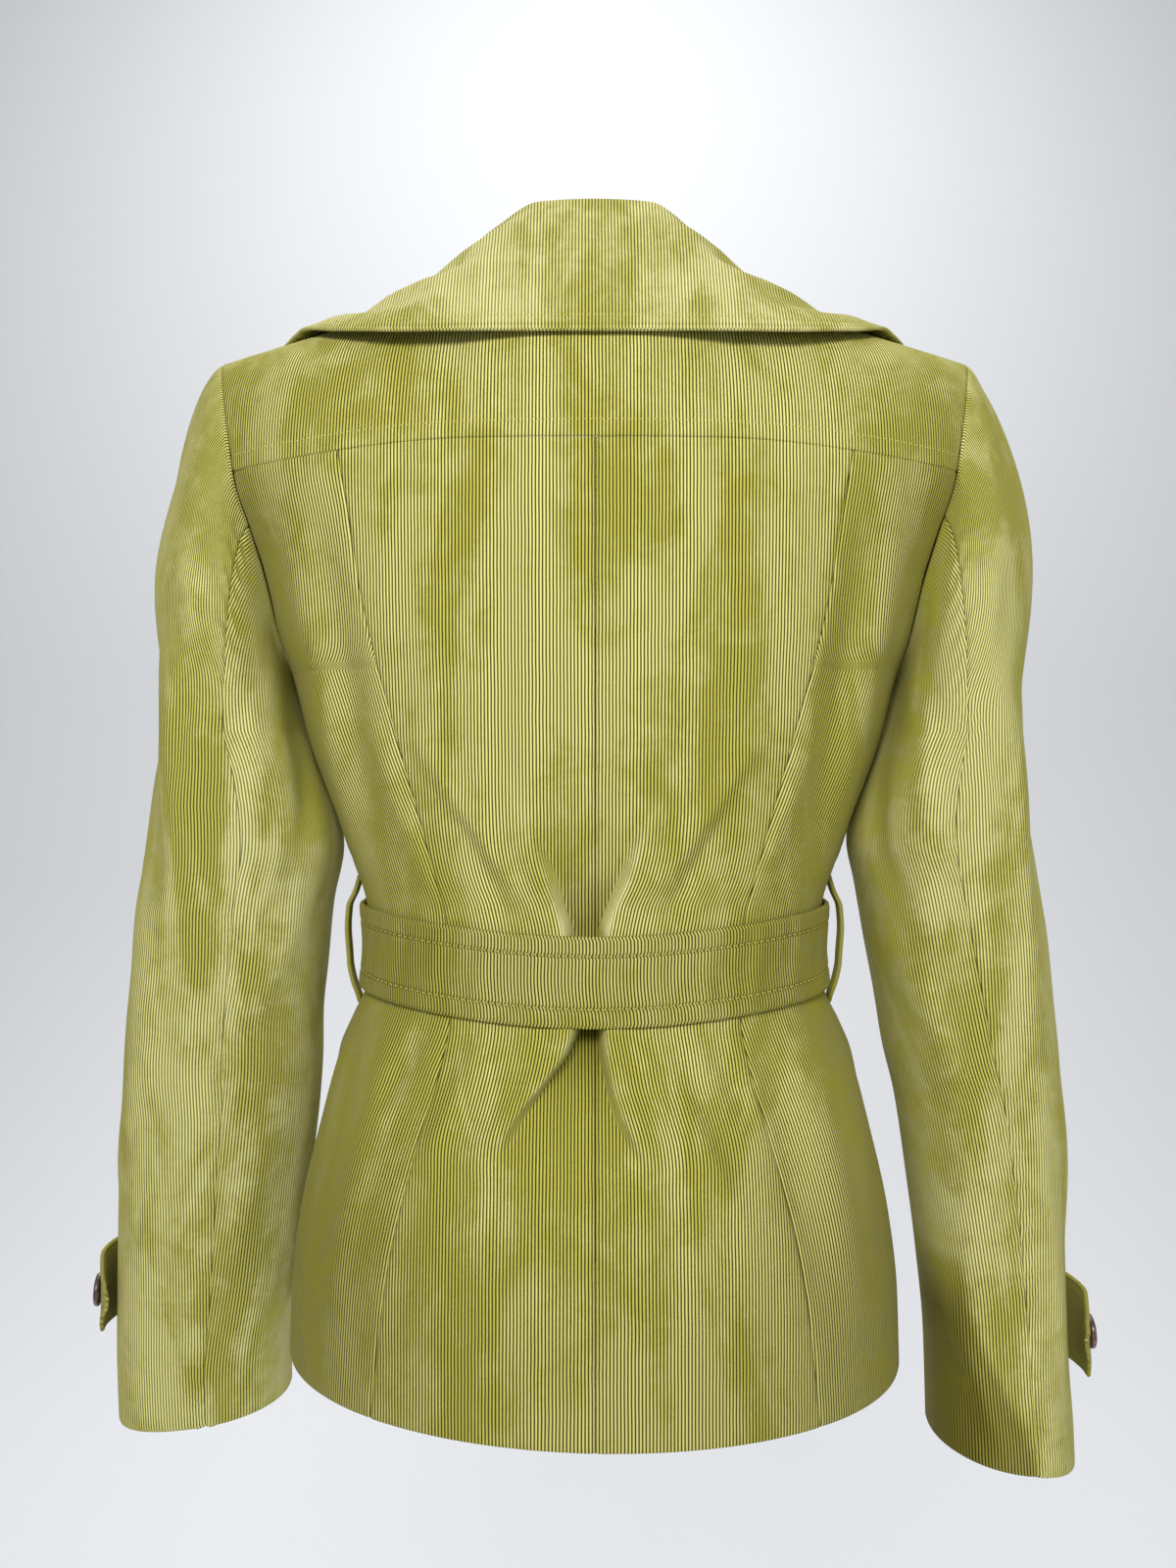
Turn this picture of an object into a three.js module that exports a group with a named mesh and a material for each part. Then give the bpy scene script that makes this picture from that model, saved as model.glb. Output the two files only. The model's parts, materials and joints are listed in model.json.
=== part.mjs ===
// A woman's short belted corduroy jacket, hollow and in its worn pose on a general figure.
// Millimetres, +Z up, the front faces -Y and the wearer's left is +X.
// The origin lies between the shoulders, at the height of the side neck points, where the jacket is carried.
import * as THREE from "three";

// Driving dimensions
const CLOTH = 1.6; // one layer of corduroy
const DOUBLE = 2.2; // collar, tabs and loops are two layers
const SEAM_GAP = 0.3; // pieces stop this far apart at a seam
const HEM_Z = -603;
const YOKE_Z = -104; // the yoke seam at the centre back
const YOKE_DROP = 7; // it hangs this much lower at the armholes
const UNDERARM_Z = -218;
const NECK_HALF = 72; // from the centre to a side neck point
const NECK_BACK = 62; // how far back the neck seam lies at the centre
const NECK_Y = 10; // the side neck points lie this far behind the origin
const NECK_DIP = 8; // the back neck seam lies this far below the side neck points
const SHOULDER_HALF = 213; // from the centre to a shoulder tip
const SHOULDER_DROP = 38;
const SHOULDER_Y = 8;
const OVERLAP = 22; // each front passes the centre by this much
const UNDER_LAYER = 3; // the left front lies this far under the right one
const BREAK_Z = -205; // where the front edges start to roll open
const ROLL_X = 53; // how far from the centre the roll line crosses the yoke's level
const SLEEVE_TOP_Z = -250; // below this the sleeves are level rings
const CUFF_Z = -668;
const CUFF_RISE = 14; // the cuffs' edges lie this much higher on their inner side
const CUFF_RISE_TOP = -540; // above this the sleeves' rings are level
const BELT_WIDTH = 45.5;
const BELT_THICK = 2.5;
const BELT_GAP = 2; // the belt lies this far off the body, over the gathered cloth
const BELT_Z_BACK = -379.5; // the middle of the belt at the centre back
const BELT_Z_SIDE = -368;
const BUTTON_R = 11;
const CUFF_BUTTON_R = 9.5;

// Small helpers
const table = (columns, rows) => rows.map((r) => Object.fromEntries(columns.map((c, i) => [c, r[i]])));
const lerp = (a, b, t) => a + (b - a) * t;
const clamp = (x, lo = 0, hi = 1) => Math.min(hi, Math.max(lo, x));
const ease = (lo, hi, x) => {
  const t = clamp((x - lo) / (hi - lo));
  return t * t * (3 - 2 * t);
};
const V = (x, y, z) => new THREE.Vector3(x, y, z);
const steps = (n, from = 0, to = 1) => Array.from({ length: n + 1 }, (_, i) => lerp(from, to, i / n));
const radians = (degrees) => (degrees * Math.PI) / 180;

// A smooth curve through one column of a table, with no overshoot between its rows
function through(rows, along, key) {
  const x = rows.map((r) => r[along]);
  const y = rows.map((r) => r[key]);
  const d = x.slice(1).map((v, i) => (y[i + 1] - y[i]) / (v - x[i]));
  const m = y.map((_, i) => {
    if (i === 0) return d[0];
    if (i === y.length - 1) return d[i - 1];
    return d[i - 1] * d[i] <= 0 ? 0 : (2 * d[i - 1] * d[i]) / (d[i - 1] + d[i]);
  });
  return (at) => {
    const t = clamp(at, x[0], x[x.length - 1]);
    let i = 0;
    while (i < x.length - 2 && t > x[i + 1]) i += 1;
    const h = x[i + 1] - x[i];
    const s = (t - x[i]) / h;
    return (
      y[i] * (1 + 2 * s) * (1 - s) ** 2 +
      m[i] * h * s * (1 - s) ** 2 +
      y[i + 1] * s * s * (3 - 2 * s) +
      m[i + 1] * h * s * s * (s - 1)
    );
  };
}
// The same for several columns at once
const curves = (rows, along) => {
  const keys = Object.keys(rows[0]).filter((k) => k !== along);
  const made = keys.map((k) => [k, through(rows, along, k)]);
  return (at) => Object.fromEntries(made.map(([k, f]) => [k, f(at)]));
};

// The body as level rings: half its width, how deep it is behind and in front, and its curve's exponent
const bodyRing = curves(
  table(
    ["z", "half", "back", "front", "square"],
    [
      [HEM_Z, 175, 118, 122, 2.02],
      [-560, 173.5, 117, 121, 2.06],
      [-520, 168.5, 112, 118, 2.15],
      [-470, 157, 102, 112, 2.28],
      [-430, 146, 92, 104, 2.35],
      [-413, 139, 88, 101, 2.35],
      [-395, 132, 85, 98, 2.35],
      [-370, 129, 83.5, 97, 2.35],
      [-345, 131, 83.5, 98, 2.35],
      [-323, 138, 86, 105, 2.35],
      [-300, 146, 89, 115, 2.35],
      [-254, 163, 95, 127, 2.35],
      [UNDERARM_Z, 172, 99, 123, 2.4],
      [-200, 178.5, 100, 119, 2.5],
      [-167, 188.6, 101.5, 108, 2.5],
      [-140, 201, 102, 99, 2.5],
      [YOKE_Z - YOKE_DROP, 218, 100.5, 90, 2.5],
      [YOKE_Z, 220, 100, 88, 2.5],
    ],
  ),
  "z",
);
// How far behind and in front of the middle each armhole runs, from the underarm up to the yoke
const armhole = curves(
  table(
    ["z", "back", "front"],
    [
      [UNDERARM_Z, 0.5, 0.5],
      [-214, 13, 13],
      [-200, 30, 33],
      [-167, 42, 52],
      [-140, 50, 56],
      [YOKE_Z - YOKE_DROP, 58, 56],
      [YOKE_Z, 59, 54],
    ],
  ),
  "z",
);
// How far from the centre the princess seams of the back run
const princess = curves(
  table(
    ["z", "x"],
    [
      [HEM_Z, 115],
      [-558, 110],
      [-526, 106],
      [-492, 99],
      [-458, 90],
      [-432, 82],
      [-399, 76],
      [-350, 79],
      [-330, 83],
      [-254, 103],
      [-211, 114],
      [-173, 122],
      [-140, 126],
      [YOKE_Z, 132],
    ],
  ),
  "z",
);
// The belt gathers the centre back into two facing folds with a sunk strip between them:
// left and right are the distances of the folds' edges from the centre seam, depth how far the strip lies in
const pleat = curves(
  table(
    ["z", "left", "right", "depth"],
    [
      [-475, 56, 30, 0],
      [-460, 49, 22, 3],
      [-446, 40, 14, 6.5],
      [-430, 27, 8.5, 10],
      [-415, 15.5, 5.5, 12.5],
      [-402, 11, 5, 14],
      [-357, 15, 5.5, 14],
      [-344, 19, 9, 12],
      [-326, 25, 17.5, 9],
      [-308, 33, 24, 5],
      [-288, 41, 34, 2],
      [-262, 50, 44, 0],
    ],
  ),
  "z",
);
// The other large folds of the body: side 1 is the wearer's left, from and to are distances round the ring
// from the centre back at the fold's top and bottom, height is outward
const BODY_FOLDS = table(
  ["side", "top", "bottom", "from", "to", "width", "height"],
  [
    [1, -125, -335, 168, 142, 11, 3.5],
    [1, -130, -330, 146, 122, 10, -3],
    [1, -398, -560, 112, 150, 12, 3],
    [1, -398, -540, 140, 176, 12, -3],
    [-1, -125, -335, 166, 141, 11, 3.5],
    [-1, -135, -330, 142, 120, 10, -3],
    [-1, -398, -570, 114, 152, 12, 3],
    [-1, -398, -540, 88, 118, 12, -3],
    [1, -398, -580, 250, 262, 16, 3],
    [-1, -398, -580, 246, 258, 16, 3],
  ],
);
// The sleeves as rings: inner and outer are their reach from the centre, y the middle, depth half the depth
const SLEEVE_COLUMNS = ["z", "inner", "outer", "y", "depth"];
const sleeveRing = {
  left: curves(
    table(SLEEVE_COLUMNS, [
      [CUFF_Z, 190, 294, -51, 40],
      [-635, 189, 293.5, -47, 40.5],
      [-580, 181, 290.5, -40, 42],
      [-516, 173, 285.8, -31, 45],
      [-467, 166, 280.5, -23, 47],
      [-439, 163.5, 277.6, -19, 49],
      [-415, 162.5, 274, -15, 50],
      [-383, 158.5, 268, -10, 52],
      [-348, 154.5, 264, -6, 54],
      [-314, 148, 258.5, -3, 56],
      [-278, 155, 253, 0, 59],
      [SLEEVE_TOP_Z, 166, 247.5, 2, 61],
    ]),
    "z",
  ),
  right: curves(
    table(SLEEVE_COLUMNS, [
      [CUFF_Z, 196, 278, -4, 40],
      [-645, 195.5, 277, -4, 40],
      [-607, 194.5, 274, -4, 41],
      [-557, 190.5, 272, -4, 43],
      [-507, 184, 270.5, -3, 45],
      [-461, 177, 269, -2, 47],
      [-430, 169.5, 266.5, -1, 49],
      [-400, 164.5, 263, 0, 50.5],
      [-369, 158.5, 259.5, 1, 52],
      [-335, 152.5, 254.5, 2, 54],
      [-311, 148, 251, 3, 56],
      [-278, 155, 245.5, 4, 59],
      [SLEEVE_TOP_Z, 166, 240, 5, 61],
    ]),
    "z",
  ),
};
const SLEEVE_SQUARE = 2.2;
// The sleeves' large folds: angle is 0 on the outside, 90 behind, 180 against the body and -90 in front
const SLEEVE_FOLDS = table(
  ["sleeve", "top", "bottom", "from", "to", "width", "height"],
  [
    ["left", -110, -205, 0, 22, 34, 6],
    ["left", -190, -375, 48, 74, 15, 4],
    ["left", -215, -350, 20, 50, 16, -4],
    ["left", -200, -330, 150, 118, 14, 4],
    ["left", -330, -470, 30, 62, 20, 3],
    ["left", -230, -420, -60, -95, 18, 4],
    ["left", -400, -560, -40, -80, 18, 3],
    ["right", -55, -225, 0, 16, 34, 12],
    ["right", -205, -430, 40, 66, 14, 4],
    ["right", -215, -360, 12, 40, 16, -4],
    ["right", -200, -330, 152, 116, 14, 4],
    ["right", -560, -668, 150, 96, 13, 3],
    ["right", -230, -420, -60, -95, 18, 4],
    ["right", -400, -560, -40, -80, 18, 3],
  ],
);

// A ring sampled finely from the centre back round to the centre front, with its running length
const RING_SAMPLES = 240;
const ringCache = new Map();
function ring(z) {
  if (ringCache.has(z)) return ringCache.get(z);
  const { half, back, front, square } = bodyRing(z);
  const made = { x: [], y: [], along: [] };
  for (let i = 0; i <= RING_SAMPLES; i += 1) {
    const c = Math.cos((Math.PI * i) / RING_SAMPLES);
    const s = Math.sin((Math.PI * i) / RING_SAMPLES);
    made.x.push(half * s ** (2 / square));
    made.y.push((c >= 0 ? back : front) * Math.sign(c) * Math.abs(c) ** (2 / square));
    const step = i ? Math.hypot(made.x[i] - made.x[i - 1], made.y[i] - made.y[i - 1]) : 0;
    made.along.push((i ? made.along[i - 1] : 0) + step);
  }
  ringCache.set(z, made);
  return made;
}
function sampled(xs, ys, at) {
  const t = clamp(at, xs[0], xs[xs.length - 1]);
  let low = 0;
  let high = xs.length - 1;
  while (high - low > 1) {
    const middle = (low + high) >> 1;
    if (xs[middle] <= t) low = middle;
    else high = middle;
  }
  return lerp(ys[low], ys[high], (t - xs[low]) / (xs[high] - xs[low] || 1));
}
const backHalf = (list) => list.slice(0, RING_SAMPLES / 2 + 1);
const frontHalf = (list) => list.slice(RING_SAMPLES / 2);
const ringLength = (z) => ring(z).along[RING_SAMPLES];
const alongAtSide = (z) => ring(z).along[RING_SAMPLES / 2];
const alongAtBackX = (z, x) => sampled(backHalf(ring(z).x), backHalf(ring(z).along), x);
const alongAtY = (z, y) => sampled(ring(z).y.map((v) => -v), ring(z).along, -y);
function alongAtFrontX(z, x) {
  if (x < 0) return ringLength(z) - x;
  return sampled(frontHalf(ring(z).x).reverse(), frontHalf(ring(z).along).reverse(), x);
}

// The wall of a gathered fold is a slope where the strip is shallow and steep where it is deep
const WALL_SHALLOW = 9;
const WALL_STEEP = 2.5;
const STEEP_DEPTH = 11;
const CREST_HEIGHT = 1.2; // the cloth swells beside the fold's edge
const CREST_WIDTH = 9;
const CREST_OFF = 5;
const pleatFoot = (edge, depth) =>
  Math.max(0.8, edge - lerp(WALL_SHALLOW, WALL_STEEP, clamp(depth / STEEP_DEPTH)));
// How far a point of the body is moved outwards by the gathered folds, the other folds and the overlap
function pleatHeight(side, along, z) {
  const { left, right, depth } = pleat(z);
  const edge = side > 0 ? left : right;
  const foot = pleatFoot(edge, depth);
  const off = (along - edge - CREST_OFF) / CREST_WIDTH;
  const crest = CREST_HEIGHT * clamp(depth / 8) * Math.exp(-off * off);
  return -depth * (1 - ease(foot, edge + 0.5, along)) + (along > edge ? crest : 0);
}
function foldHeight(side, along, z) {
  let height = pleatHeight(side, along, z);
  for (const f of BODY_FOLDS) {
    if (f.side !== side || z > f.top || z < f.bottom) continue;
    const t = (f.top - z) / (f.top - f.bottom);
    const off = (along - lerp(f.from, f.to, t)) / f.width;
    height += f.height * Math.sin(Math.PI * t) * Math.exp(-off * off);
  }
  if (side > 0) {
    const fromCentre = ringLength(z) - along;
    const lapped = 1 - ease(BREAK_Z + 27, BREAK_Z + 50, z);
    height -= UNDER_LAYER * lapped * (1 - ease(OVERLAP + 6, OVERLAP + 26, fromCentre));
  }
  return height;
}
// A point of the smooth body on one side, moved outwards; along may run past the centre front
function ringPoint(side, along, z, out = 0) {
  const r = ring(z);
  const total = ringLength(z);
  const past = Math.max(0, along - total);
  const at = Math.min(along, total);
  const near = 1.5;
  const a = clamp(at, near, total - near);
  const nx = sampled(r.along, r.y, a - near) - sampled(r.along, r.y, a + near);
  const ny = sampled(r.along, r.x, a + near) - sampled(r.along, r.x, a - near);
  const size = Math.hypot(nx, ny);
  const level = past || at < near || at > total - near;
  const x = sampled(r.along, r.x, at) - past + (level ? 0 : (out * nx) / size);
  return V(side * x, sampled(r.along, r.y, at) + (out * ny) / size, z);
}
const bodyPoint = (side, along, z) => ringPoint(side, along, z, foldHeight(side, along, z));

// The yoke seam hangs a little towards the armholes
const yokeSeamZ = (x) => YOKE_Z - YOKE_DROP * ease(60, 200, Math.abs(x));
// Shoulder seam and neckline, by the distance from the centre
function topLine(x) {
  const ax = Math.abs(x);
  if (ax <= NECK_HALF) {
    const t = ax / NECK_HALF;
    return V(x, NECK_BACK - (NECK_BACK - NECK_Y) * t ** 2.6, -NECK_DIP * (1 - t * t));
  }
  const t = (ax - NECK_HALF) / (SHOULDER_HALF - NECK_HALF);
  return V(x, lerp(NECK_Y, SHOULDER_Y, t), -SHOULDER_DROP * t ** 0.9);
}
// From a point on a ring up to the shoulder seam or neckline, rounding outwards: the curve's turning point lies
// at these shares of the way up
const TURN = { x: 0.62, y: 0.14, z: 0.94 };
function overShoulder(low, high, v) {
  const turn = V(lerp(low.x, high.x, TURN.x), lerp(low.y, high.y, TURN.y), lerp(low.z, high.z, TURN.z));
  return low
    .clone()
    .multiplyScalar((1 - v) ** 2)
    .add(turn.multiplyScalar(2 * v * (1 - v)))
    .add(high.clone().multiplyScalar(v * v));
}
// The yoke: q runs from -1 at the right armhole to 1 at the left one, v from the yoke seam up
const YOKE_EDGE = alongAtY(YOKE_Z - YOKE_DROP, armhole(YOKE_Z - YOKE_DROP).back);
function yokePoint(q, v) {
  const side = q < 0 ? -1 : 1;
  const along = Math.abs(q) * YOKE_EDGE;
  const z = yokeSeamZ(ringPoint(side, along, YOKE_Z).x);
  return overShoulder(bodyPoint(side, along, z), topLine(q * SHOULDER_HALF), v);
}
// The upper front: c runs from the roll line to the armhole, v from the yoke's level up to the shoulder seam
const CHEST_INNER = alongAtFrontX(YOKE_Z, ROLL_X);
const CHEST_OUTER = alongAtY(YOKE_Z, -armhole(YOKE_Z).front);
function upperFront(side, c, v) {
  const low = bodyPoint(side, lerp(CHEST_INNER, CHEST_OUTER, c), YOKE_Z);
  return overShoulder(low, topLine(side * lerp(NECK_HALF, SHOULDER_HALF, c)), v);
}
// The front edge: past the centre up to the break, then rolling open to the side neck point
const rollX = (z) => lerp(-OVERLAP, ROLL_X, clamp((z - BREAK_Z) / (YOKE_Z - BREAK_Z)) ** 0.85);

// The unit normal of a surface of two parameters
function normal(surface, a, b, da, db, sign) {
  const u = surface(a + da, b).sub(surface(a - da, b));
  const v = surface(a, b + db).sub(surface(a, b - db));
  return u.cross(v).normalize().multiplyScalar(sign);
}
// A point of a surface moved out along its normal
const moved = (point, n, out) => point.clone().addScaledVector(n, out);

// A closed solid between two grids of points, outer and inner, of the same size
function closed(outer, inner) {
  const rows = outer.length;
  const columns = outer[0].length;
  const points = [...outer.flat(), ...inner.flat()];
  const id = (layer, i, j) => layer * rows * columns + i * columns + j;
  const faces = [];
  const quad = (a, b, c, d) => {
    const ac = points[a].distanceToSquared(points[c]);
    const bd = points[b].distanceToSquared(points[d]);
    if (ac <= bd) faces.push([a, b, c], [a, c, d]);
    else faces.push([a, b, d], [b, c, d]);
  };
  for (let i = 0; i < rows - 1; i += 1)
    for (let j = 0; j < columns - 1; j += 1) {
      quad(id(0, i, j), id(0, i, j + 1), id(0, i + 1, j + 1), id(0, i + 1, j));
      quad(id(1, i, j), id(1, i + 1, j), id(1, i + 1, j + 1), id(1, i, j + 1));
    }
  const last = rows - 1;
  const end = columns - 1;
  for (let j = 0; j < end; j += 1) {
    quad(id(0, 0, j), id(1, 0, j), id(1, 0, j + 1), id(0, 0, j + 1));
    quad(id(0, last, j), id(0, last, j + 1), id(1, last, j + 1), id(1, last, j));
  }
  for (let i = 0; i < last; i += 1) {
    quad(id(0, i, 0), id(0, i + 1, 0), id(1, i + 1, 0), id(1, i, 0));
    quad(id(0, i, end), id(1, i, end), id(1, i + 1, end), id(0, i + 1, end));
  }
  return solid(points, faces);
}
function solid(points, faces) {
  let volume = 0;
  for (const [a, b, c] of faces) volume += points[a].dot(points[b].clone().cross(points[c]));
  const turned = volume < 0 ? faces.map(([a, b, c]) => [a, c, b]) : faces;
  const geometry = new THREE.BufferGeometry();
  const numbers = points.flatMap((p) => p.toArray());
  geometry.setAttribute("position", new THREE.Float32BufferAttribute(numbers, 3));
  geometry.setIndex(turned.flat());
  return geometry;
}
// A wall between a grid of { point, n } and the same points moved in by its thickness
function wall(grid, thick, out = 0) {
  const at = (d) => grid.map((row) => row.map(({ point, n }) => moved(point, n, d)));
  return closed(at(out + thick), at(out));
}

const jacket = new THREE.Group();
const corduroy = () => new THREE.MeshStandardMaterial({ color: 0xa6a14c, roughness: 0.95, metalness: 0 });
const horn = () => new THREE.MeshStandardMaterial({ color: 0x4a352a, roughness: 0.35, metalness: 0 });
function add(name, geometry, material = corduroy()) {
  const mesh = new THREE.Mesh(geometry, material);
  mesh.name = name;
  jacket.add(mesh);
  return mesh;
}
const SIDES = [
  { name: "left", side: 1 },
  { name: "right", side: -1 },
];

// Body panels from lists of [along, z] for each row
function bodyGrid(side, rows) {
  const surface = (along, z) => bodyPoint(side, along, z);
  return rows.map((row) =>
    row.map(([along, z]) => ({ point: surface(along, z), n: normal(surface, along, z, 0.8, 1.5, -side) })),
  );
}
// The height on a back panel: rows near the yoke follow its seam and stop just below it
function backLevel(side, along, level) {
  const drop = yokeSeamZ(ringPoint(side, along, level).x) - YOKE_Z;
  return level + drop * ease(-165, YOKE_Z, level) - (level === YOKE_Z ? SEAM_GAP : 0);
}
// The levels at which all the body's panels have a row, so that they meet along the same seams
const ROWS = [
  HEM_Z, -560, -515, -475, -460, -446, -430, -415, -402, -380, -357, -344, -326, -308, -286, -255, UNDERARM_Z,
  -215, -208, -197, -184, -167, -150, -128, YOKE_Z,
];
function centreBack({ name, side }) {
  const rows = ROWS.map((level) => {
    const seam = alongAtBackX(level, princess(level).x) - SEAM_GAP / 2;
    const edge = pleat(level)[name];
    const foot = pleatFoot(edge, pleat(level).depth);
    const near = [SEAM_GAP / 2, foot, lerp(foot, edge, 0.5), edge, edge + CREST_OFF];
    const rest = steps(3, edge + CREST_OFF, seam).slice(1);
    return [...near, ...rest].map((along) => [along, backLevel(side, along, level)]);
  });
  add(`back_${name}`, wall(bodyGrid(side, rows), CLOTH, -CLOTH));
}
SIDES.forEach(centreBack);

function sideBack({ name, side }) {
  const rows = ROWS.map((level) => {
    const from = alongAtBackX(level, princess(level).x) + SEAM_GAP / 2;
    const onArmhole = level > UNDERARM_Z;
    const to = onArmhole ? alongAtY(level, armhole(level).back) : alongAtSide(level) - SEAM_GAP / 2;
    return steps(5, from, to).map((along) => [along, backLevel(side, along, level)]);
  });
  add(`side_back_${name}`, wall(bodyGrid(side, rows), CLOTH, -CLOTH));
}
SIDES.forEach(sideBack);

// The yoke; at its seam the wall's end is level, as the panels' ends are
function yoke() {
  const level = (n, v) => V(n.x, n.y, n.z * ease(0, 0.12, v)).normalize();
  const grid = steps(7, 0, 0.996).map((v) =>
    steps(22, -1, 1).map((q) => ({
      point: yokePoint(q, v),
      n: level(normal(yokePoint, clamp(q, -0.99, 0.99), clamp(v, 0.01, 0.99), 0.01, 0.01, -1), v),
    })),
  );
  add("yoke", wall(grid, CLOTH, -CLOTH));
}
yoke();

// The fronts, from the hem up to the yoke's level and on over the chest to the shoulder seam
const FRONT_ROWS = ROWS.slice(0, -1);
function front({ name, side }) {
  const shares = steps(9).map((t) => 1 - (1 - t) ** 1.35);
  const rows = FRONT_ROWS.map((level) => {
    const onArmhole = level > UNDERARM_Z;
    const from = onArmhole ? alongAtY(level, -armhole(level).front) : alongAtSide(level) + SEAM_GAP / 2;
    const to = alongAtFrontX(level, rollX(level));
    return shares.map((t) => [lerp(from, to, t), level]);
  });
  const grid = bodyGrid(side, rows);
  const chest = (c, v) => upperFront(side, c, v);
  for (const v of [0, 0.25, 0.5, 0.75, 0.996]) {
    const level = (n) => V(n.x, n.y, n.z * ease(0, 0.12, v)).normalize();
    grid.push(
      shares.map((t) => ({
        point: chest(1 - t, v),
        n: level(normal(chest, clamp(1 - t, 0.01, 0.99), clamp(v, 0.01, 0.99), 0.01, 0.01, side)),
      })),
    );
  }
  add(`front_${name}`, wall(grid, CLOTH, -CLOTH));
}
SIDES.forEach(front);

// The armhole seam: angle 0 at the shoulder tip, 90 and -90 half way down behind and in front, 180 below
function armholeLine(side) {
  const down = steps(30, YOKE_Z - YOKE_DROP, UNDERARM_Z + 0.2);
  const downFront = steps(30, YOKE_Z, UNDERARM_Z + 0.2);
  const behind = [
    ...steps(12, 1, 0.02).map((v) => yokePoint(side, v)),
    ...down.map((z) => bodyPoint(side, alongAtY(z, armhole(z).back), z)),
  ];
  const before = [
    ...steps(12, 1, 0.02).map((v) => upperFront(side, 1, v)),
    ...downFront.map((z) => bodyPoint(side, alongAtY(z, -armhole(z).front), z)),
  ];
  const measured = (line) => {
    const along = [0];
    for (let i = 1; i < line.length; i += 1) along.push(along[i - 1] + line[i].distanceTo(line[i - 1]));
    return (share) => {
      const at = share * along[along.length - 1];
      const pick = (k) => sampled(along, line.map((p) => p[k]), at);
      return V(pick("x"), pick("y"), pick("z"));
    };
  };
  const back = measured(behind);
  const fore = measured(before);
  return (angle) => (angle >= 0 ? back(angle / 180) : fore(-angle / 180));
}
// How far out the body reaches at a height and depth, folds counted
const edgeCache = new Map();
function bodyReach(side, z, y) {
  const key = `${side} ${z.toFixed(1)}`;
  if (!edgeCache.has(key)) {
    const line = steps(60, 20, ringLength(z) - 20).map((along) => bodyPoint(side, along, z));
    edgeCache.set(key, { y: line.map((p) => -p.y), x: line.map((p) => side * p.x) });
  }
  const { y: ys, x: xs } = edgeCache.get(key);
  return sampled(ys, xs, -y);
}
const CAP_SHARE = 0.4; // the share of the sleeve's rows that lies above its level rings
const CLEAR = 1.6; // the sleeves stay this far off the body
// The sleeve head's curve turns at these shares of the way out, in and down, and further out under the arm
const HEAD_TURN = { x: 0.9, y: 0.75, z: 0.1 };
const UNDERARM_OUT = 10;
const UNDERARM_UP = 4;
function sleeveSurface({ name, side }) {
  const seam = armholeLine(side);
  const ringAt = (angle, z) => {
    const { inner, outer, y, depth } = sleeveRing[name](z);
    const c = Math.cos(radians(angle));
    const s = Math.sin(radians(angle));
    const power = 2 / SLEEVE_SQUARE;
    const x = (inner + outer) / 2 + ((outer - inner) / 2) * Math.sign(c) * Math.abs(c) ** power;
    const rise = (CUFF_RISE * ease(CUFF_RISE_TOP, CUFF_Z, z) * (1 - c)) / 2;
    return V(side * x, y + depth * Math.sign(s) * Math.abs(s) ** power, z + rise);
  };
  const foldOut = (angle, z) => {
    let height = 0;
    for (const f of SLEEVE_FOLDS) {
      if (f.sleeve !== name || z > f.top || z < f.bottom) continue;
      const t = (f.top - z) / (f.top - f.bottom);
      let off = angle - lerp(f.from, f.to, t);
      if (off > 180) off -= 360;
      if (off < -180) off += 360;
      height += f.height * Math.sin(Math.PI * t) * Math.exp(-((off / f.width) ** 2));
    }
    return height;
  };
  const keptClear = (p) => {
    if (p.z > UNDERARM_Z - 1) return p;
    const least = bodyReach(side, p.z, p.y) + CLEAR;
    return side * p.x < least ? V(side * least, p.y, p.z) : p;
  };
  return (angle, s) => {
    let turn = ((angle + 180) % 360 + 360) % 360 - 180;
    if (turn === -180) turn = 180;
    if (s >= CAP_SHARE) {
      const z = lerp(SLEEVE_TOP_Z, CUFF_Z, (s - CAP_SHARE) / (1 - CAP_SHARE));
      const { outer, inner, y } = sleeveRing[name](z);
      const p = ringAt(turn, z);
      const outward = V(p.x - (side * (outer + inner)) / 2, p.y - y, 0).normalize();
      return keptClear(moved(p, outward, foldOut(turn, z)));
    }
    const start = seam(turn);
    const end = ringAt(turn, SLEEVE_TOP_Z);
    const inwards = ease(90, 170, Math.abs(turn));
    const control = V(
      lerp(start.x, end.x, HEAD_TURN.x) + side * UNDERARM_OUT * inwards,
      lerp(start.y, end.y, HEAD_TURN.y),
      lerp(start.z, end.z, HEAD_TURN.z) + UNDERARM_UP * inwards,
    );
    const t = s / CAP_SHARE;
    const p = start
      .clone()
      .multiplyScalar((1 - t) ** 2)
      .add(control.multiplyScalar(2 * t * (1 - t)))
      .add(end.clone().multiplyScalar(t * t));
    const { outer, inner, y } = sleeveRing[name](SLEEVE_TOP_Z);
    const outward = V(p.x - (side * (outer + inner)) / 2, p.y - y, 0).normalize();
    return keptClear(moved(p, outward, foldOut(turn, p.z) * ease(0, 0.3, t)));
  };
}
const sleeves = Object.fromEntries(SIDES.map((which) => [which.name, sleeveSurface(which)]));
const sleeveShare = (z) => CAP_SHARE + ((1 - CAP_SHARE) * (SLEEVE_TOP_Z - z)) / (SLEEVE_TOP_Z - CUFF_Z);
const CUFF_LEVELS = [-275, -302, -330, -360, -392, -428, -468, -512, -560, -600, -636, CUFF_Z];
const SLEEVE_ROWS = [
  ...[0.025, 0.08, 0.17, 0.3, 0.45, 0.62, 0.8, 1].map((t) => t * CAP_SHARE),
  ...CUFF_LEVELS.map(sleeveShare),
];
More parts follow.
